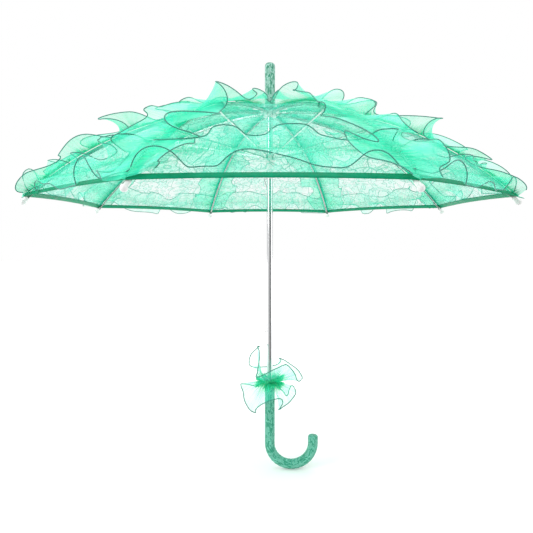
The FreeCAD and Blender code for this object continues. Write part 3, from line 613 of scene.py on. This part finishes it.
GORE_ROWS = 120
GORE_COLUMNS = 26
half_hem = CANOPY_REACH * np.sin(HALF_GORE)
HALVES = {"first": (-1.0, 0.0), "second": (0.0, 1.0)}
half_gores = {}
for k in RIBS:
    for half, (low, high) in HALVES.items():
        share = np.linspace(low, high, GORE_COLUMNS)[None, :]
        down = np.linspace(0, 1, GORE_ROWS)[:, None]
        angle = crown_angle + down * (hem_line_angle(share) - crown_angle)
        share, angle = np.broadcast_arrays(share, angle)
        points = gore_point(rib_azimuths[k] + HALF_GORE, share, angle)
        flat_places = np.stack((share * cloth_radius * np.sin(angle) * np.sin(HALF_GORE) + 0.7 * k,
                                cloth_radius * angle), axis=-1)
        half_gores[k, half] = surface(f"lace_gore_{k}_{half}_half", points, flat_places, gore_lace)


def arm_of(k, half):
    """The rib that a half of gore k follows: its own, or the next."""
    return k if half == "first" else k % 8 + 1


def gather_to_rib(pieces, k):
    """The pieces follow rib k, each with its own copy of its mesh."""
    for piece in pieces:
        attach(piece, f"rib_arm_{k}")
        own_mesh(piece)


# ------------------------------------------------------------------------------------------------------------
# Bound hem.  A strip of satin 8 mm wide, folded over the cut edge of each gore and sewn through close to its
# own edges, so that it shows outside and inside alike.

# The hem satin glows faintly in its own colour, a painted glow that lightens it.
satin, satin_shader = new_material("hem satin", Specular_IOR_Level=0.08, Emission_Strength=0.06)
tree = satin.node_tree
satin_map = cloth_map(tree)
satin_weave = use_group(tree, weave, Vector=satin_map, Threads=7000.0)
parts = place(tree, "SeparateXYZ", Vector=satin_map)
dash = between(tree, maths(tree, "SINE", maths(tree, "MULTIPLY", parts.outputs[0], 2100.0)), -0.1, 0.3)
from_fold = maths(tree, "ABSOLUTE", parts.outputs[1])
off_stitch = maths(tree, "ABSOLUTE", maths(tree, "SUBTRACT", from_fold, 0.0066))
stitch = maths(tree, "MULTIPLY", between(tree, off_stitch, 0.0003, 0.0006, 1.0, 0.0), dash)
shade = cloth_noise(tree, satin_map, 90.0, 3.0)
satin_colour = tinted(tree, shade, (0.001, 0.19, 0.088, 1), (0.003, 0.32, 0.16, 1))
sewn = maths(tree, "MULTIPLY", stitch, 0.5)
coloured_and_glowing(tree, satin_shader, tinted(tree, sewn, satin_colour, (0.001, 0.19, 0.09, 1)))
tree.links.new(between(tree, shade, 0.3, 0.7, 0.35, 0.5), satin_shader.inputs["Roughness"])
woven = maths(tree, "MULTIPLY_ADD", satin_weave.outputs[0], 0.15, shade)
bumped(tree, satin_shader, maths(tree, "SUBTRACT", woven, stitch), 0.0002)

HEM_WIDTH = 0.008
HEM_THICK = 0.0008
HEM_TURN = 0.0006
fold = np.linspace(-1, 1, 13)
hem_up = HEM_WIDTH * np.abs(fold) - HEM_TURN * (1 - fold ** 2)
hem_out = HEM_THICK * np.sign(fold) * np.minimum(1, np.abs(fold) * 3.5) ** 0.5
for (k, half), gore in half_gores.items():
    share = np.linspace(*HALVES[half], 60)[:, None]
    angle = hem_line_angle(share) - hem_up[None, :] / cloth_radius
    share, angle, lift = np.broadcast_arrays(share, angle, hem_out[None, :])
    points = gore_point(rib_azimuths[k] + HALF_GORE, share, angle, lift)
    flat_places = np.stack(np.broadcast_arrays(share * half_hem, HEM_WIDTH * fold[None, :]), axis=-1)
    hem = surface(f"bound_hem_{k}_{half}_half", points, flat_places, satin)
    gather_to_rib((hem, gore), arm_of(k, half))
    if half == "first":
        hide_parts(f"canopy_gore_{k}")

# ------------------------------------------------------------------------------------------------------------
# Seam tapes and ties.  A narrow satin tape is sewn over every seam, and covers the rib from outside.  At each
# joiner a few turns of dark thread go through the seam and round the rib, to hold the canopy to it.

TAPE_WIDTH = 0.011
TAPE_LIFT = 0.0034
# The tape glows a little in its own colour, a painted glow that lightens it.
tape_satin, tape_shader = new_material("tape satin", Specular_IOR_Level=0.15, Roughness=0.5,
                                       Emission_Strength=0.15)
tree = tape_satin.node_tree
tape_map = cloth_map(tree)
tape_weave = use_group(tree, weave, Vector=tape_map, Threads=8000.0)
tape_shade = cloth_noise(tree, tape_map, 120.0, 3.0)
coloured_and_glowing(tree, tape_shader, tinted(tree, tape_shade, (0.008, 0.52, 0.31, 1), (0.03, 0.78, 0.52, 1)))
bumped(tree, tape_shader, maths(tree, "MULTIPLY_ADD", tape_weave.outputs[0], 0.2, tape_shade), 0.00015)


def over_seam(azimuth, angle, beside, height):
    """A point beside a seam: height over the ribs' circle there, and down with the gore that slopes from
    it."""
    radius = ARC_RADIUS + height - np.tan(HALF_GORE) * np.sin(angle) * np.abs(beside)
    return canopy_point(azimuth, radius * np.sin(angle), beside, arc_height + radius * np.cos(angle))


tape_down = np.linspace(crown_angle + 0.012, hem_angle - 0.016, 90)[:, None]
tape_across = np.linspace(-TAPE_WIDTH / 2, TAPE_WIDTH / 2, 7)[None, :]
tape_down, tape_across = np.broadcast_arrays(tape_down, tape_across)
tape_flat = np.stack((tape_across, cloth_radius * tape_down), axis=-1)
tie_thread, tie_shader = new_material("tie thread", Base_Color=(0.004, 0.035, 0.025, 1), Roughness=0.6)
tree = tie_thread.node_tree
twist_place = place(tree, "Mapping", Vector=cloth_map(tree), Rotation=(0, 0, 0.7),
                    Scale=(3000.0, 3000.0, 1.0))
bumped(tree, tie_shader, cloth_noise(tree, twist_place.outputs[0], 1.0, 2.0), 0.0001)


def cord(name, line, normal, side, radius, material, sides=7):
    """A round cord with shut ends along a line: at each of its points a circle that runs from the normal
    round by the side vector."""
    around = np.linspace(0, 2 * np.pi, sides + 1)
    circle = (np.cos(around)[None, :, None] * normal[:, None, :]
              + np.sin(around)[None, :, None] * side[:, None, :])
    circle[:, -1] = circle[:, 0]
    size = np.full(len(line), radius)
    size[0] = size[-1] = 0
    flat_places = np.stack(np.broadcast_arrays(run_length(line)[:, None], around[None, :] * radius), axis=-1)
    return surface(name, line[:, None, :] + size[:, None, None] * circle, flat_places, material)


def wound_thread(name, line):
    """A thread along a line that winds round its own middle, and faces away from there."""
    heading = unit(np.gradient(line, axis=0))
    across_line = unit(np.cross(heading, unit(line - line.mean(axis=0) + 1e-6)))
    return cord(name, line, np.cross(across_line, heading), across_line, TIE_THREAD, tie_thread)


TIE_THREAD = 0.00045
TIE_TURNS = 4
TIE_LENGTH = 0.0032
TIE_ABOVE_JOINER = 0.016
tie_turn = np.linspace(0, 2 * np.pi * TIE_TURNS, 24 * TIE_TURNS)
tie_along = TIE_LENGTH * (tie_turn / tie_turn[-1] - 0.5)
joiner_reach = np.hypot(*joints["stretcher_1_swing"]["pos_m"][:2])
tie_angle = np.arcsin(joiner_reach / ARC_RADIUS) - TIE_ABOVE_JOINER
for k in RIBS:
    tape_points = over_seam(rib_azimuths[k], tape_down, tape_across, TAPE_LIFT)
    tape = surface(f"seam_tape_{k}", tape_points, tape_flat, tape_satin)
    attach(tape, f"rib_arm_{k}")
    tie_line = over_seam(rib_azimuths[k], tie_angle + tie_along / ARC_RADIUS, 0.0030 * np.sin(tie_turn),
                         0.0012 + 0.0034 * np.cos(tie_turn))
    tie = wound_thread(f"thread_tie_{k}", tie_line)
    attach(tie, f"rib_arm_{k}")

# ------------------------------------------------------------------------------------------------------------
# Seam ruffles.  A strip of crisp organza 88 mm wide, gathered down its middle and sewn along each seam, so
# that both its flaps lie on the canopy.  Its edges are wired, which throws them into long loops.  The loops
# have fallen over down the slope, and lie over one another like shingles.


def organza_cloth(name, threads_cover, gathered, gather_reach, pale, deep):
    """See-through organza, whose threads cover the share threads_cover of it.  It is denser where it bunches:
    in the pleats that run out from the gathering thread, up to gather_reach, and where it turns edge on."""
    # Each organza glows a little in its own colour, a painted glow that stands for the light coming through
    # it.
    material, shader = new_material(name, Specular_IOR_Level=0.35, Sheen_Weight=0.25, Sheen_Roughness=0.4,
                                    Roughness=0.5, Emission_Strength=0.2)
    tree = material.node_tree
    flat = cloth_map(tree)
    from_gather = maths(tree, "ABSOLUTE", place(tree, "SeparateXYZ", Vector=flat).outputs[1])
    near_gather = between(tree, from_gather, 0.0, gather_reach, 1.0, 0.0)
    pleat_place = place(tree, "Mapping", Vector=flat, Scale=(420.0, 20.0, 1.0))
    pleats = between(tree, cloth_noise(tree, pleat_place.outputs[0], 1.0, 3.0), 0.35, 0.66)
    fold_place = place(tree, "Mapping", Vector=flat, Scale=(60.0, 12.0, 1.0))
    folds = between(tree, cloth_noise(tree, fold_place.outputs[0], 1.0, 2.0), 0.35, 0.68)
    streak = maths(tree, "MULTIPLY", pleats, maths(tree, "MULTIPLY_ADD", near_gather, 0.8, 0.2))
    edge_on = place(tree, "LayerWeight", Blend=0.3).outputs["Facing"]
    density = threads_cover
    for cover, weight in ((near_gather, 0.5 * gathered), (streak, gathered), (folds, 0.8 * threads_cover),
                          (edge_on, 1.2 * threads_cover)):
        density = maths(tree, "MULTIPLY_ADD", cover, weight, density)
    tree.links.new(maths(tree, "MINIMUM", density, 0.96), shader.inputs["Alpha"])
    deepened = maths(tree, "MAXIMUM", streak, maths(tree, "MULTIPLY", near_gather, 0.6))
    coloured_and_glowing(tree, shader, tinted(tree, deepened, pale, deep))
    crosswise = use_group(tree, weave, Vector=flat, Threads=9000.0)
    bumped(tree, shader, maths(tree, "MULTIPLY_ADD", crosswise.outputs[0], 0.04, streak), 0.0008)
    return material


organza = organza_cloth("organza", 0.22, 0.42, 0.026, (0.035, 0.86, 0.56, 1), (0.003, 0.68, 0.37, 1))

wired_edge, edge_shader = new_material("wired edge", Roughness=0.55, Sheen_Weight=0.2)
tree = wired_edge.node_tree
parts = place(tree, "SeparateXYZ", Vector=cloth_map(tree))
turning = maths(tree, "MULTIPLY", parts.outputs[0], 3600.0)
slant = maths(tree, "MULTIPLY_ADD", parts.outputs[1], 900.0, turning)
overcast = between(tree, maths(tree, "SINE", slant), -0.5, 0.5)
tree.links.new(tinted(tree, overcast, (0.010, 0.18, 0.13, 1), (0.05, 0.36, 0.28, 1)),
               edge_shader.inputs["Base Color"])
bumped(tree, edge_shader, overcast, 0.0003)


def wander(turns, strength, harmonics, seed):
    """Smooth unevenness along a line: a sum of sines, one for each harmonic of the line, with seeded
    phases."""
    phases = np.random.default_rng(seed).uniform(0, 2 * np.pi, len(harmonics))
    waves = np.sin(2 * np.pi * np.outer(turns, harmonics) + phases)
    return strength * waves.sum(axis=1) / np.sqrt(len(harmonics))


def evened(values, window, closed_line):
    """Values less their mean over one wave of the line, so that no row drifts off it."""
    half_window = window // 2
    padded = np.pad(values, ((half_window, half_window), (0, 0)), mode="wrap" if closed_line else "edge")
    sums = np.cumsum(padded, axis=0)
    return values - (sums[2 * half_window:] - sums[:-2 * half_window]) / (2 * half_window)


def ruffle_rows(along, phase, turn, width, window, rows, closed_line):
    """One flap of a gathered strip, as (ahead, out, swing) over the line it is sewn to.  Each row is a
    meander: its heading swings by turn times the sine of the phase, more from row to row, and its length is
    what lets it keep up with the line.  Out grows so that neighbouring rows stay a row's width apart."""
    share = np.linspace(0, 1, rows) ** 0.8
    heading = turn[:, None] * share[None, :]
    quarter = np.linspace(0, np.pi, 48)
    progress = np.cos(heading[..., None] * np.sin(quarter)).mean(axis=-1)
    slope = heading * np.sin(phase)[:, None]
    step = along[1] - along[0]
    ahead = evened(np.cumsum(np.cos(slope) / progress - 1, axis=0) * step, window, closed_line)
    swing = evened(np.cumsum(np.sin(slope) / progress, axis=0) * step, window, closed_line)
    row = width[:, None] * np.diff(np.linspace(0, 1, rows))[None, :]
    left_over = row ** 2 - np.diff(swing, axis=1) ** 2 - np.diff(ahead, axis=1) ** 2
    stride = np.sqrt(np.maximum(left_over, (0.3 * row) ** 2))
    out = np.concatenate((np.zeros((len(along), 1)), np.cumsum(stride, axis=1)), axis=1)
    return ahead, out, swing


def kept_above(height, floor, softness=0.004):
    """Height, turned smoothly so that it stays over the floor."""
    clear = height - floor
    return floor + 0.5 * (clear + np.sqrt(clear ** 2 + softness ** 2))


PLEAT_HEIGHT = 0.0011
PLEAT_REACH = 0.012


def leaning(out, swing, lean, pleat):
    """A flap turned up from the cloth by its lean, as (beside, height), with pleats near the gathering."""
    beside = out * np.cos(lean) - swing * np.sin(lean)
    height = out * np.sin(lean) + swing * np.cos(lean)
    near = np.exp(-(out / PLEAT_REACH) ** 2) * np.minimum(out / 0.003, 1)
    return beside, height + PLEAT_HEIGHT * pleat * near


def strip(name, flaps, words, material, wire_radius=0.00062):
    """A gathered strip from its two flaps, each a pair of points and flat places whose first rows meet on the
    seam, and a wire along each outer edge, named after it."""
    (first, first_flat), (second, second_flat) = flaps
    points = np.concatenate((first[:, :0:-1], second), axis=1)
    flat_places = np.concatenate((first_flat[:, :0:-1], second_flat), axis=1)
    cloth = surface(name, points, flat_places, material)
    wires = []
    for word, (flap, _) in zip(words, flaps):
        heading = unit(np.gradient(flap[:, -1], axis=0))
        normal = unit(np.cross(heading, unit(flap[:, -2] - flap[:, -1])))
        wires.append(cord(f"{name}_{word}_wire", flap[:, -1], np.cross(normal, heading), normal, wire_radius,
                          wired_edge))
    return cloth, wires


FLAP = 0.044
GATHERING = 1.2
RUFFLE_ROWS = 14
RUFFLE_COLUMNS = 400
RUFFLE_LIFT = 0.0042
RUFFLE_CLEARANCE = 0.0012
SEAM_WAVE = 0.078
SEAM_PLEAT = 0.0062
seam_start = np.arcsin(0.030 / ARC_RADIUS)
seam_end = np.arcsin(0.357 / ARC_RADIUS)
ruffle_radius = ARC_RADIUS + RUFFLE_LIFT
seam_run = ruffle_radius * (seam_end - seam_start)
along = np.linspace(0, seam_run, RUFFLE_COLUMNS)
turns = along / seam_run
window = int(RUFFLE_COLUMNS * SEAM_WAVE / seam_run)
from_crown = np.clip(turns / 0.30, 0, 1)
from_tip = np.clip((1 - turns) / 0.07, 0, 1)
taper = (0.42 + 0.58 * eased(from_crown)) * (0.6 + 0.4 * from_tip)
flap_share = np.linspace(0, 1, RUFFLE_ROWS)[None, :]
for k in RIBS:
    flaps = []
    for side in (-1, 1):
        seed = 100 * k + 7 * side
        pace = np.clip(1 + wander(turns, 0.42, (2, 3, 5), seed), 0.45, 1.9)
        phase = 2 * np.pi * np.cumsum(pace) * (along[1] - along[0]) / SEAM_WAVE + 0.9 * k + 1.7 * side
        turn = np.clip(1.25 + wander(turns, 0.45, (1, 2, 4, 6), seed + 1), 0.5, 1.8)
        turn = turn * (0.6 + 0.4 * from_crown)
        lean = np.radians(np.clip(10 + wander(turns, 10, (1, 2, 3, 5), seed + 2), 1, 30))[:, None]
        width = FLAP * taper * (1 + wander(turns, 0.05, (3, 7), seed + 3))
        ahead, out, swing = ruffle_rows(along, phase, turn, width, window, RUFFLE_ROWS, False)
        lying = np.radians(np.clip(60 + wander(turns, 16, (1, 3, 4), seed + 5), 25, 76))[:, None]
        ahead, swing = ahead + swing * np.sin(lying), swing * np.cos(lying)
        angle = seam_start + (along[:, None] + ahead) / ruffle_radius
        pleat = np.sin(2 * np.pi * along / SEAM_PLEAT + 3 * wander(turns, 1, (9, 14), seed + 4))[:, None]
        beside, height = leaning(out, swing, lean, pleat)
        gore_drop = -np.tan(HALF_GORE) * np.sin(np.clip(angle, 0, hem_angle)) * np.maximum(beside, 0)
        height = np.where(out > 0, kept_above(height, gore_drop + RUFFLE_CLEARANCE), 0)
        radius = ruffle_radius + height
        flap = canopy_point(rib_azimuths[k], radius * np.sin(angle), side * beside,
                            arc_height + radius * np.cos(angle))
        flat = np.stack(np.broadcast_arrays(GATHERING * along[:, None] + 0.9 * k, side * FLAP * flap_share),
                        axis=-1)
        flaps.append((flap, flat))
    ruffle, wires = strip(f"seam_ruffle_{k}", flaps, ("left", "right"), organza)
    gather_to_rib((ruffle, *wires), k)
    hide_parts(f"canopy_ruffle_{k}")

# ------------------------------------------------------------------------------------------------------------
# Ring ruffle.  A strip of thinner organza, gathered round the canopy above its hem and sewn to every gore.
# Its lower flap hangs to the hem, and a narrower one lies up the canopy.  It lies closer to the lace than the
# seam ruffles do, with longer, lower waves in its wired edges.

RING_REACH = 0.334
RING_FLAP = 0.031
RING_WAVE = 0.098
RING_GATHERING = 1.25
RING_DROOP = 0.009
RING_UPPER = 0.8
RING_PLEAT = 0.0066
RING_LIFT = 0.0022
RING_COLUMNS = 128
ring_angle = np.arcsin(RING_REACH / cloth_radius)
gore_chord = 2 * cloth_radius * np.sin(ring_angle) * np.sin(HALF_GORE)
ring_count = 8 * RING_COLUMNS
ring_place = np.arange(ring_count) / RING_COLUMNS
ring_turns = ring_place / 8
ring_window = int(RING_COLUMNS * RING_WAVE / gore_chord)
waves_round = round(8 * gore_chord / RING_WAVE)


def ring_frame(where):
    """The line round the canopy at place where, counted in gores from rib 1: its point, the way down the
    cloth and the way out of it.  The cloth is flat across a gore, and turns to the next gore near the rib."""
    gore = np.floor(where)
    share = 2 * (where - gore) - 1
    corner = eased((np.abs(share) - 0.7) / 0.3)
    middle = rib_azimuths[1] + HALF_GORE * (2 * gore + 1)
    facing_way = middle + np.sign(share) * corner * HALF_GORE
    flat_slope = np.arctan2(np.sin(ring_angle), np.cos(ring_angle) * np.cos(HALF_GORE))
    slope_here = flat_slope + corner * (ring_angle - flat_slope)
    azimuth = rib_azimuths[1] + 2 * HALF_GORE * where
    drooped = ring_angle + RING_DROOP * (np.sin(azimuth) - np.cos(4 * azimuth)) / cloth_radius
    away_level = outward(facing_way)
    downhill = np.cos(slope_here)[..., None] * away_level - np.sin(slope_here)[..., None] * UP
    off_cloth = np.sin(slope_here)[..., None] * away_level + np.cos(slope_here)[..., None] * UP
    return gore_point(middle, share, drooped, RING_LIFT), downhill, off_cloth


ring_organza = organza_cloth("ring organza", 0.13, 0.26, 0.020, (0.06, 0.86, 0.60, 1), (0.006, 0.70, 0.40, 1))
ring_along = ring_place * gore_chord
ring_flaps = []
for side in (-1, 1):
    seed = 900 + side
    phase = 2 * np.pi * (waves_round * ring_turns + wander(ring_turns, 0.22, (3, 5, 9, 14), seed)) + side
    turn = np.clip(0.92 + wander(ring_turns, 0.34, (2, 7, 11, 17), seed + 1), 0.45, 1.6)
    lean = np.radians(np.clip(11 + wander(ring_turns, 8, (3, 6, 10, 15), seed + 2), 2, 32))[:, None]
    flap_width = RING_FLAP * (RING_UPPER if side < 0 else 1)
    width = flap_width * (1 + wander(ring_turns, 0.06, (5, 12, 19), seed + 3))
    ahead, out, swing = ruffle_rows(ring_along, phase, turn, width, ring_window, RUFFLE_ROWS, True)
    pleat = np.sin(2 * np.pi * ring_along / RING_PLEAT + 3 * wander(ring_turns, 1, (31, 47), seed + 4))
    beside, height = leaning(out, swing, lean, pleat[:, None])
    height = np.where(out > 0, kept_above(height, RUFFLE_CLEARANCE), 0)
    point, downhill, off_cloth = ring_frame(ring_place[:, None] + ahead / gore_chord)
    flap = point + (side * beside)[..., None] * downhill + height[..., None] * off_cloth
    flat = np.stack(np.broadcast_arrays(RING_GATHERING * ring_along[:, None], side * flap_width * flap_share),
                    axis=-1)
    ring_flaps.append((np.concatenate((flap, flap[:1])), np.concatenate((flat, flat[-1:] + (0.0014, 0)))))
for k in RIBS:
    for half in HALVES:
        begin = (k - 1) * RING_COLUMNS + (0 if half == "first" else RING_COLUMNS // 2)
        stretch = slice(begin, begin + RING_COLUMNS // 2 + 1)
        flaps = [(flap[stretch], flat[stretch]) for flap, flat in ring_flaps]
        ruffle, wires = strip(f"ring_ruffle_{k}_{half}_half", flaps, ("upper", "lower"), ring_organza)
        gather_to_rib((ruffle, *wires), arm_of(k, half))

# ------------------------------------------------------------------------------------------------------------
# Handle frill.  A short strip of organza, gathered tightly round the top of the handle and tied, so that its
# two wired edges open into a few large lobes above and below the tie, with a denser, narrower frill inside.

frill_low, frill_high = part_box("handle_frill")
frill_middle = (frill_low.z + frill_high.z) / 2
FRILL_ROWS = 22
FRILL_COLUMNS = 260
TIE_RADIUS = 0.0093
FRILL_FLAP = 0.045
FRILL_PLEATS = 24
FRILL_WIRE = 0.0008
frill_turn = np.linspace(0, 2 * np.pi, FRILL_COLUMNS)[:, None]
frill_share = np.linspace(0, 1, FRILL_ROWS)[None, :]
frill_organza = organza_cloth("frill organza", 0.13, 0.5, 0.034, (0.06, 0.84, 0.58, 1), (0, 0.60, 0.30, 1))
heart_organza = organza_cloth("frill heart organza", 0.16, 1.3, 0.0165, (0, 0.66, 0.34, 1),
                              (0, 0.42, 0.14, 1))


def round_curve(turn, bearings, values):
    """A smooth closed curve of the values at those bearings, in degrees: each turn takes the mean of them
    all, weighed by e to the power of 9 times the cosine of how far off they are, less 9."""
    off = turn[..., None] - np.radians(bearings)
    weight = np.exp(9 * (np.cos(off) - 1))
    return (weight * np.array(values)).sum(axis=-1) / weight.sum(axis=-1)


# The lobes of the two flaps, by bearing: how steeply each rises, in degrees, and how far it reaches
upper_lobes = ((0, 55, 110, 160, 205, 250, 300), (8, 58, 20, 84, 84, 25, 64),
               (0.046, 0.040, 0.034, 0.058, 0.062, 0.034, 0.038))
lower_lobes = ((0, 45, 95, 140, 182, 225, 270, 315, 345), (-8, -60, -25, -40, 4, -84, -25, -78, -40),
               (0.036, 0.040, 0.034, 0.038, 0.040, 0.056, 0.032, 0.048, 0.040))
frill_flaps = []
for side, (bearings, rises, reaches) in ((-1, upper_lobes), (1, lower_lobes)):
    reach = round_curve(frill_turn, bearings, reaches)
    rise = np.radians(round_curve(frill_turn, bearings, rises)) * (0.78 + 0.32 * frill_share)
    lurch = 0.35 * frill_share ** 1.5 * np.sin(4 * frill_turn + side)
    step = reach * np.diff(frill_share)
    outgoing = np.concatenate((0 * reach, np.cumsum(step * np.cos(rise[:, 1:]), axis=1)), axis=1)
    upgoing = np.concatenate((0 * reach, np.cumsum(step * np.sin(rise[:, 1:]), axis=1)), axis=1)
    pleat = np.sin(FRILL_PLEATS * frill_turn)
    crimp = 0.0016 * pleat * np.exp(-frill_share * 3.5) * np.minimum(frill_share * 12, 1)
    radius = TIE_RADIUS + outgoing + 0.0004 * pleat
    bearing = frill_turn + lurch
    height = frill_middle + upgoing + crimp
    flap = np.stack((radius * np.cos(bearing), radius * np.sin(bearing), height), axis=-1)
    flat = np.stack(np.broadcast_arrays(0.04 * frill_turn, side * FRILL_FLAP * frill_share), axis=-1)
    frill_flaps.append((flap, flat))
frill, frill_wires = strip("organza_frill", frill_flaps, ("upper", "lower"), frill_organza, FRILL_WIRE)
for piece in (frill, *frill_wires):
    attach(piece, "frame")
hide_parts("handle_frill")

# The inner frill, a narrower strip gathered so tightly that it stands out all round the tie
HEART_REACH = 0.0165
HEART_FLAP = 0.016
HEART_PLEATS = 33
heart_share = np.linspace(0, 1, 12)[None, :]
heart_turn = np.linspace(0, 2 * np.pi, 420)[:, None]
heart_flaps = []
for side in (-1, 1):
    uneven = np.sin(3 * heart_turn + side) + 0.6 * np.sin(7 * heart_turn + 2)
    heart_reach = HEART_REACH * (1 + 0.10 * uneven)
    tilt = side * np.radians(26 + 9 * np.sin(5 * heart_turn + 1.5 * side))
    pleat = 0.0021 * np.sin(HEART_PLEATS * heart_turn + side) * heart_share
    radius = TIE_RADIUS + 0.0004 + heart_reach * heart_share * np.cos(tilt)
    height = frill_middle + heart_reach * heart_share * np.sin(tilt) + pleat
    flap = np.stack((radius * np.cos(heart_turn), radius * np.sin(heart_turn), height), axis=-1)
    flat = np.stack(np.broadcast_arrays(0.03 * heart_turn, side * HEART_FLAP * heart_share), axis=-1)
    heart_flaps.append((flap, flat))
frill_heart, _ = strip("frill_heart", heart_flaps, (), heart_organza)
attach(frill_heart, "frame")

# ------------------------------------------------------------------------------------------------------------
# Studio.  A white table under the hook, a white surround, three soft lamps and the camera below the canopy's
# rim.  A dark screen that only reflections see stands in front, for the line down the chrome shaft.

lowest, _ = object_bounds()
floor_paint, floor_shader = new_material("white table", Base_Color=(0.93, 0.93, 0.93, 1), Roughness=0.7,
                                         Emission_Strength=1.0)
tree = floor_paint.node_tree
floor_place = place(tree, "TexCoord").outputs["Object"]
grain = place(tree, "TexNoise", Vector=floor_place, Scale=300.0)
bumped(tree, floor_shader, grain.outputs[0], 0.00005)
far_off = between(tree, place(tree, "SeparateXYZ", Vector=floor_place).outputs[1], 0.1, 1.6)
tree.links.new(tinted(tree, far_off, (0.12, 0.12, 0.12, 1), (1, 1, 1, 1)),
               floor_shader.inputs["Emission Color"])
across_floor, along_floor = np.meshgrid((-5.0, 5.0), (-0.22, 6.0))
floor_points = np.stack((across_floor, along_floor, np.full((2, 2), lowest.z - 0.0005)), axis=-1)
table = surface("white_table", floor_points, floor_points[..., :2] / 6, floor_paint)

world = bpy.data.worlds.new("white studio")
bpy.context.scene.world = world
world.use_nodes = True
tree = world.node_tree
sky = tree.nodes["Background"]
heading = place(tree, "SeparateXYZ", Vector=place(tree, "TexCoord").outputs["Generated"])
sideways = maths(tree, "DIVIDE", heading.outputs[0], maths(tree, "MULTIPLY", heading.outputs[1], -1))
off_screen = maths(tree, "ABSOLUTE", maths(tree, "SUBTRACT", sideways, 0.25))
screen = maths(tree, "MULTIPLY", between(tree, off_screen, 0.35, 0.55, 1.0, 0.0),
               between(tree, heading.outputs[1], -0.1, 0.0, 1.0, 0.0))
rays = place(tree, "LightPath")
in_front = maths(tree, "MULTIPLY", screen, rays.outputs["Is Glossy Ray"])
overhead = between(tree, heading.outputs[2], -0.5, 1.0, 0.72, 0.98)
lit = tinted(tree, in_front, (1, 1, 1, 1), (0.01, 0.01, 0.01, 1))
seen = rays.outputs["Is Camera Ray"]
tree.links.new(tinted(tree, seen, lit, (1, 1, 1, 1)), sky.inputs["Color"])
tree.links.new(maths(tree, "MAXIMUM", seen, overhead), sky.inputs["Strength"])


def lamp(name, where, size, power, towards):
    """A square soft lamp that faces a point."""
    light = bpy.data.lights.new(name, "AREA")
    light.size = size
    light.energy = power
    made = bpy.data.objects.new(name, light)
    made.location = where
    made.rotation_euler = (Vector(towards) - Vector(where)).to_track_quat("-Z", "Y").to_euler()
    bpy.context.scene.collection.objects.link(made)


lamp("left_softbox", (-1.5, -1.0, 0.9), 1.1, 17.0, (0, 0, 0.25))
lamp("top_softbox", (0.5, 0.3, 1.9), 1.5, 10.0, (0, 0, 0.3))
lamp("right_softbox", (1.5, -0.6, 0.3), 0.8, 4.0, (0, 0, 0.25))

camera_data = bpy.data.cameras.new("camera")
camera_data.lens = 31.745
camera_data.clip_start = 0.02
camera = bpy.data.objects.new("camera", camera_data)
camera.location = (-0.0055, -0.776, 0.297)
camera.rotation_euler = (np.radians(90 - 3.9), 0, 0)
bpy.context.scene.collection.objects.link(camera)
bpy.context.scene.camera = camera
bpy.context.scene.view_settings.view_transform = "Standard"
bpy.context.scene.cycles.transparent_max_bounces = 32
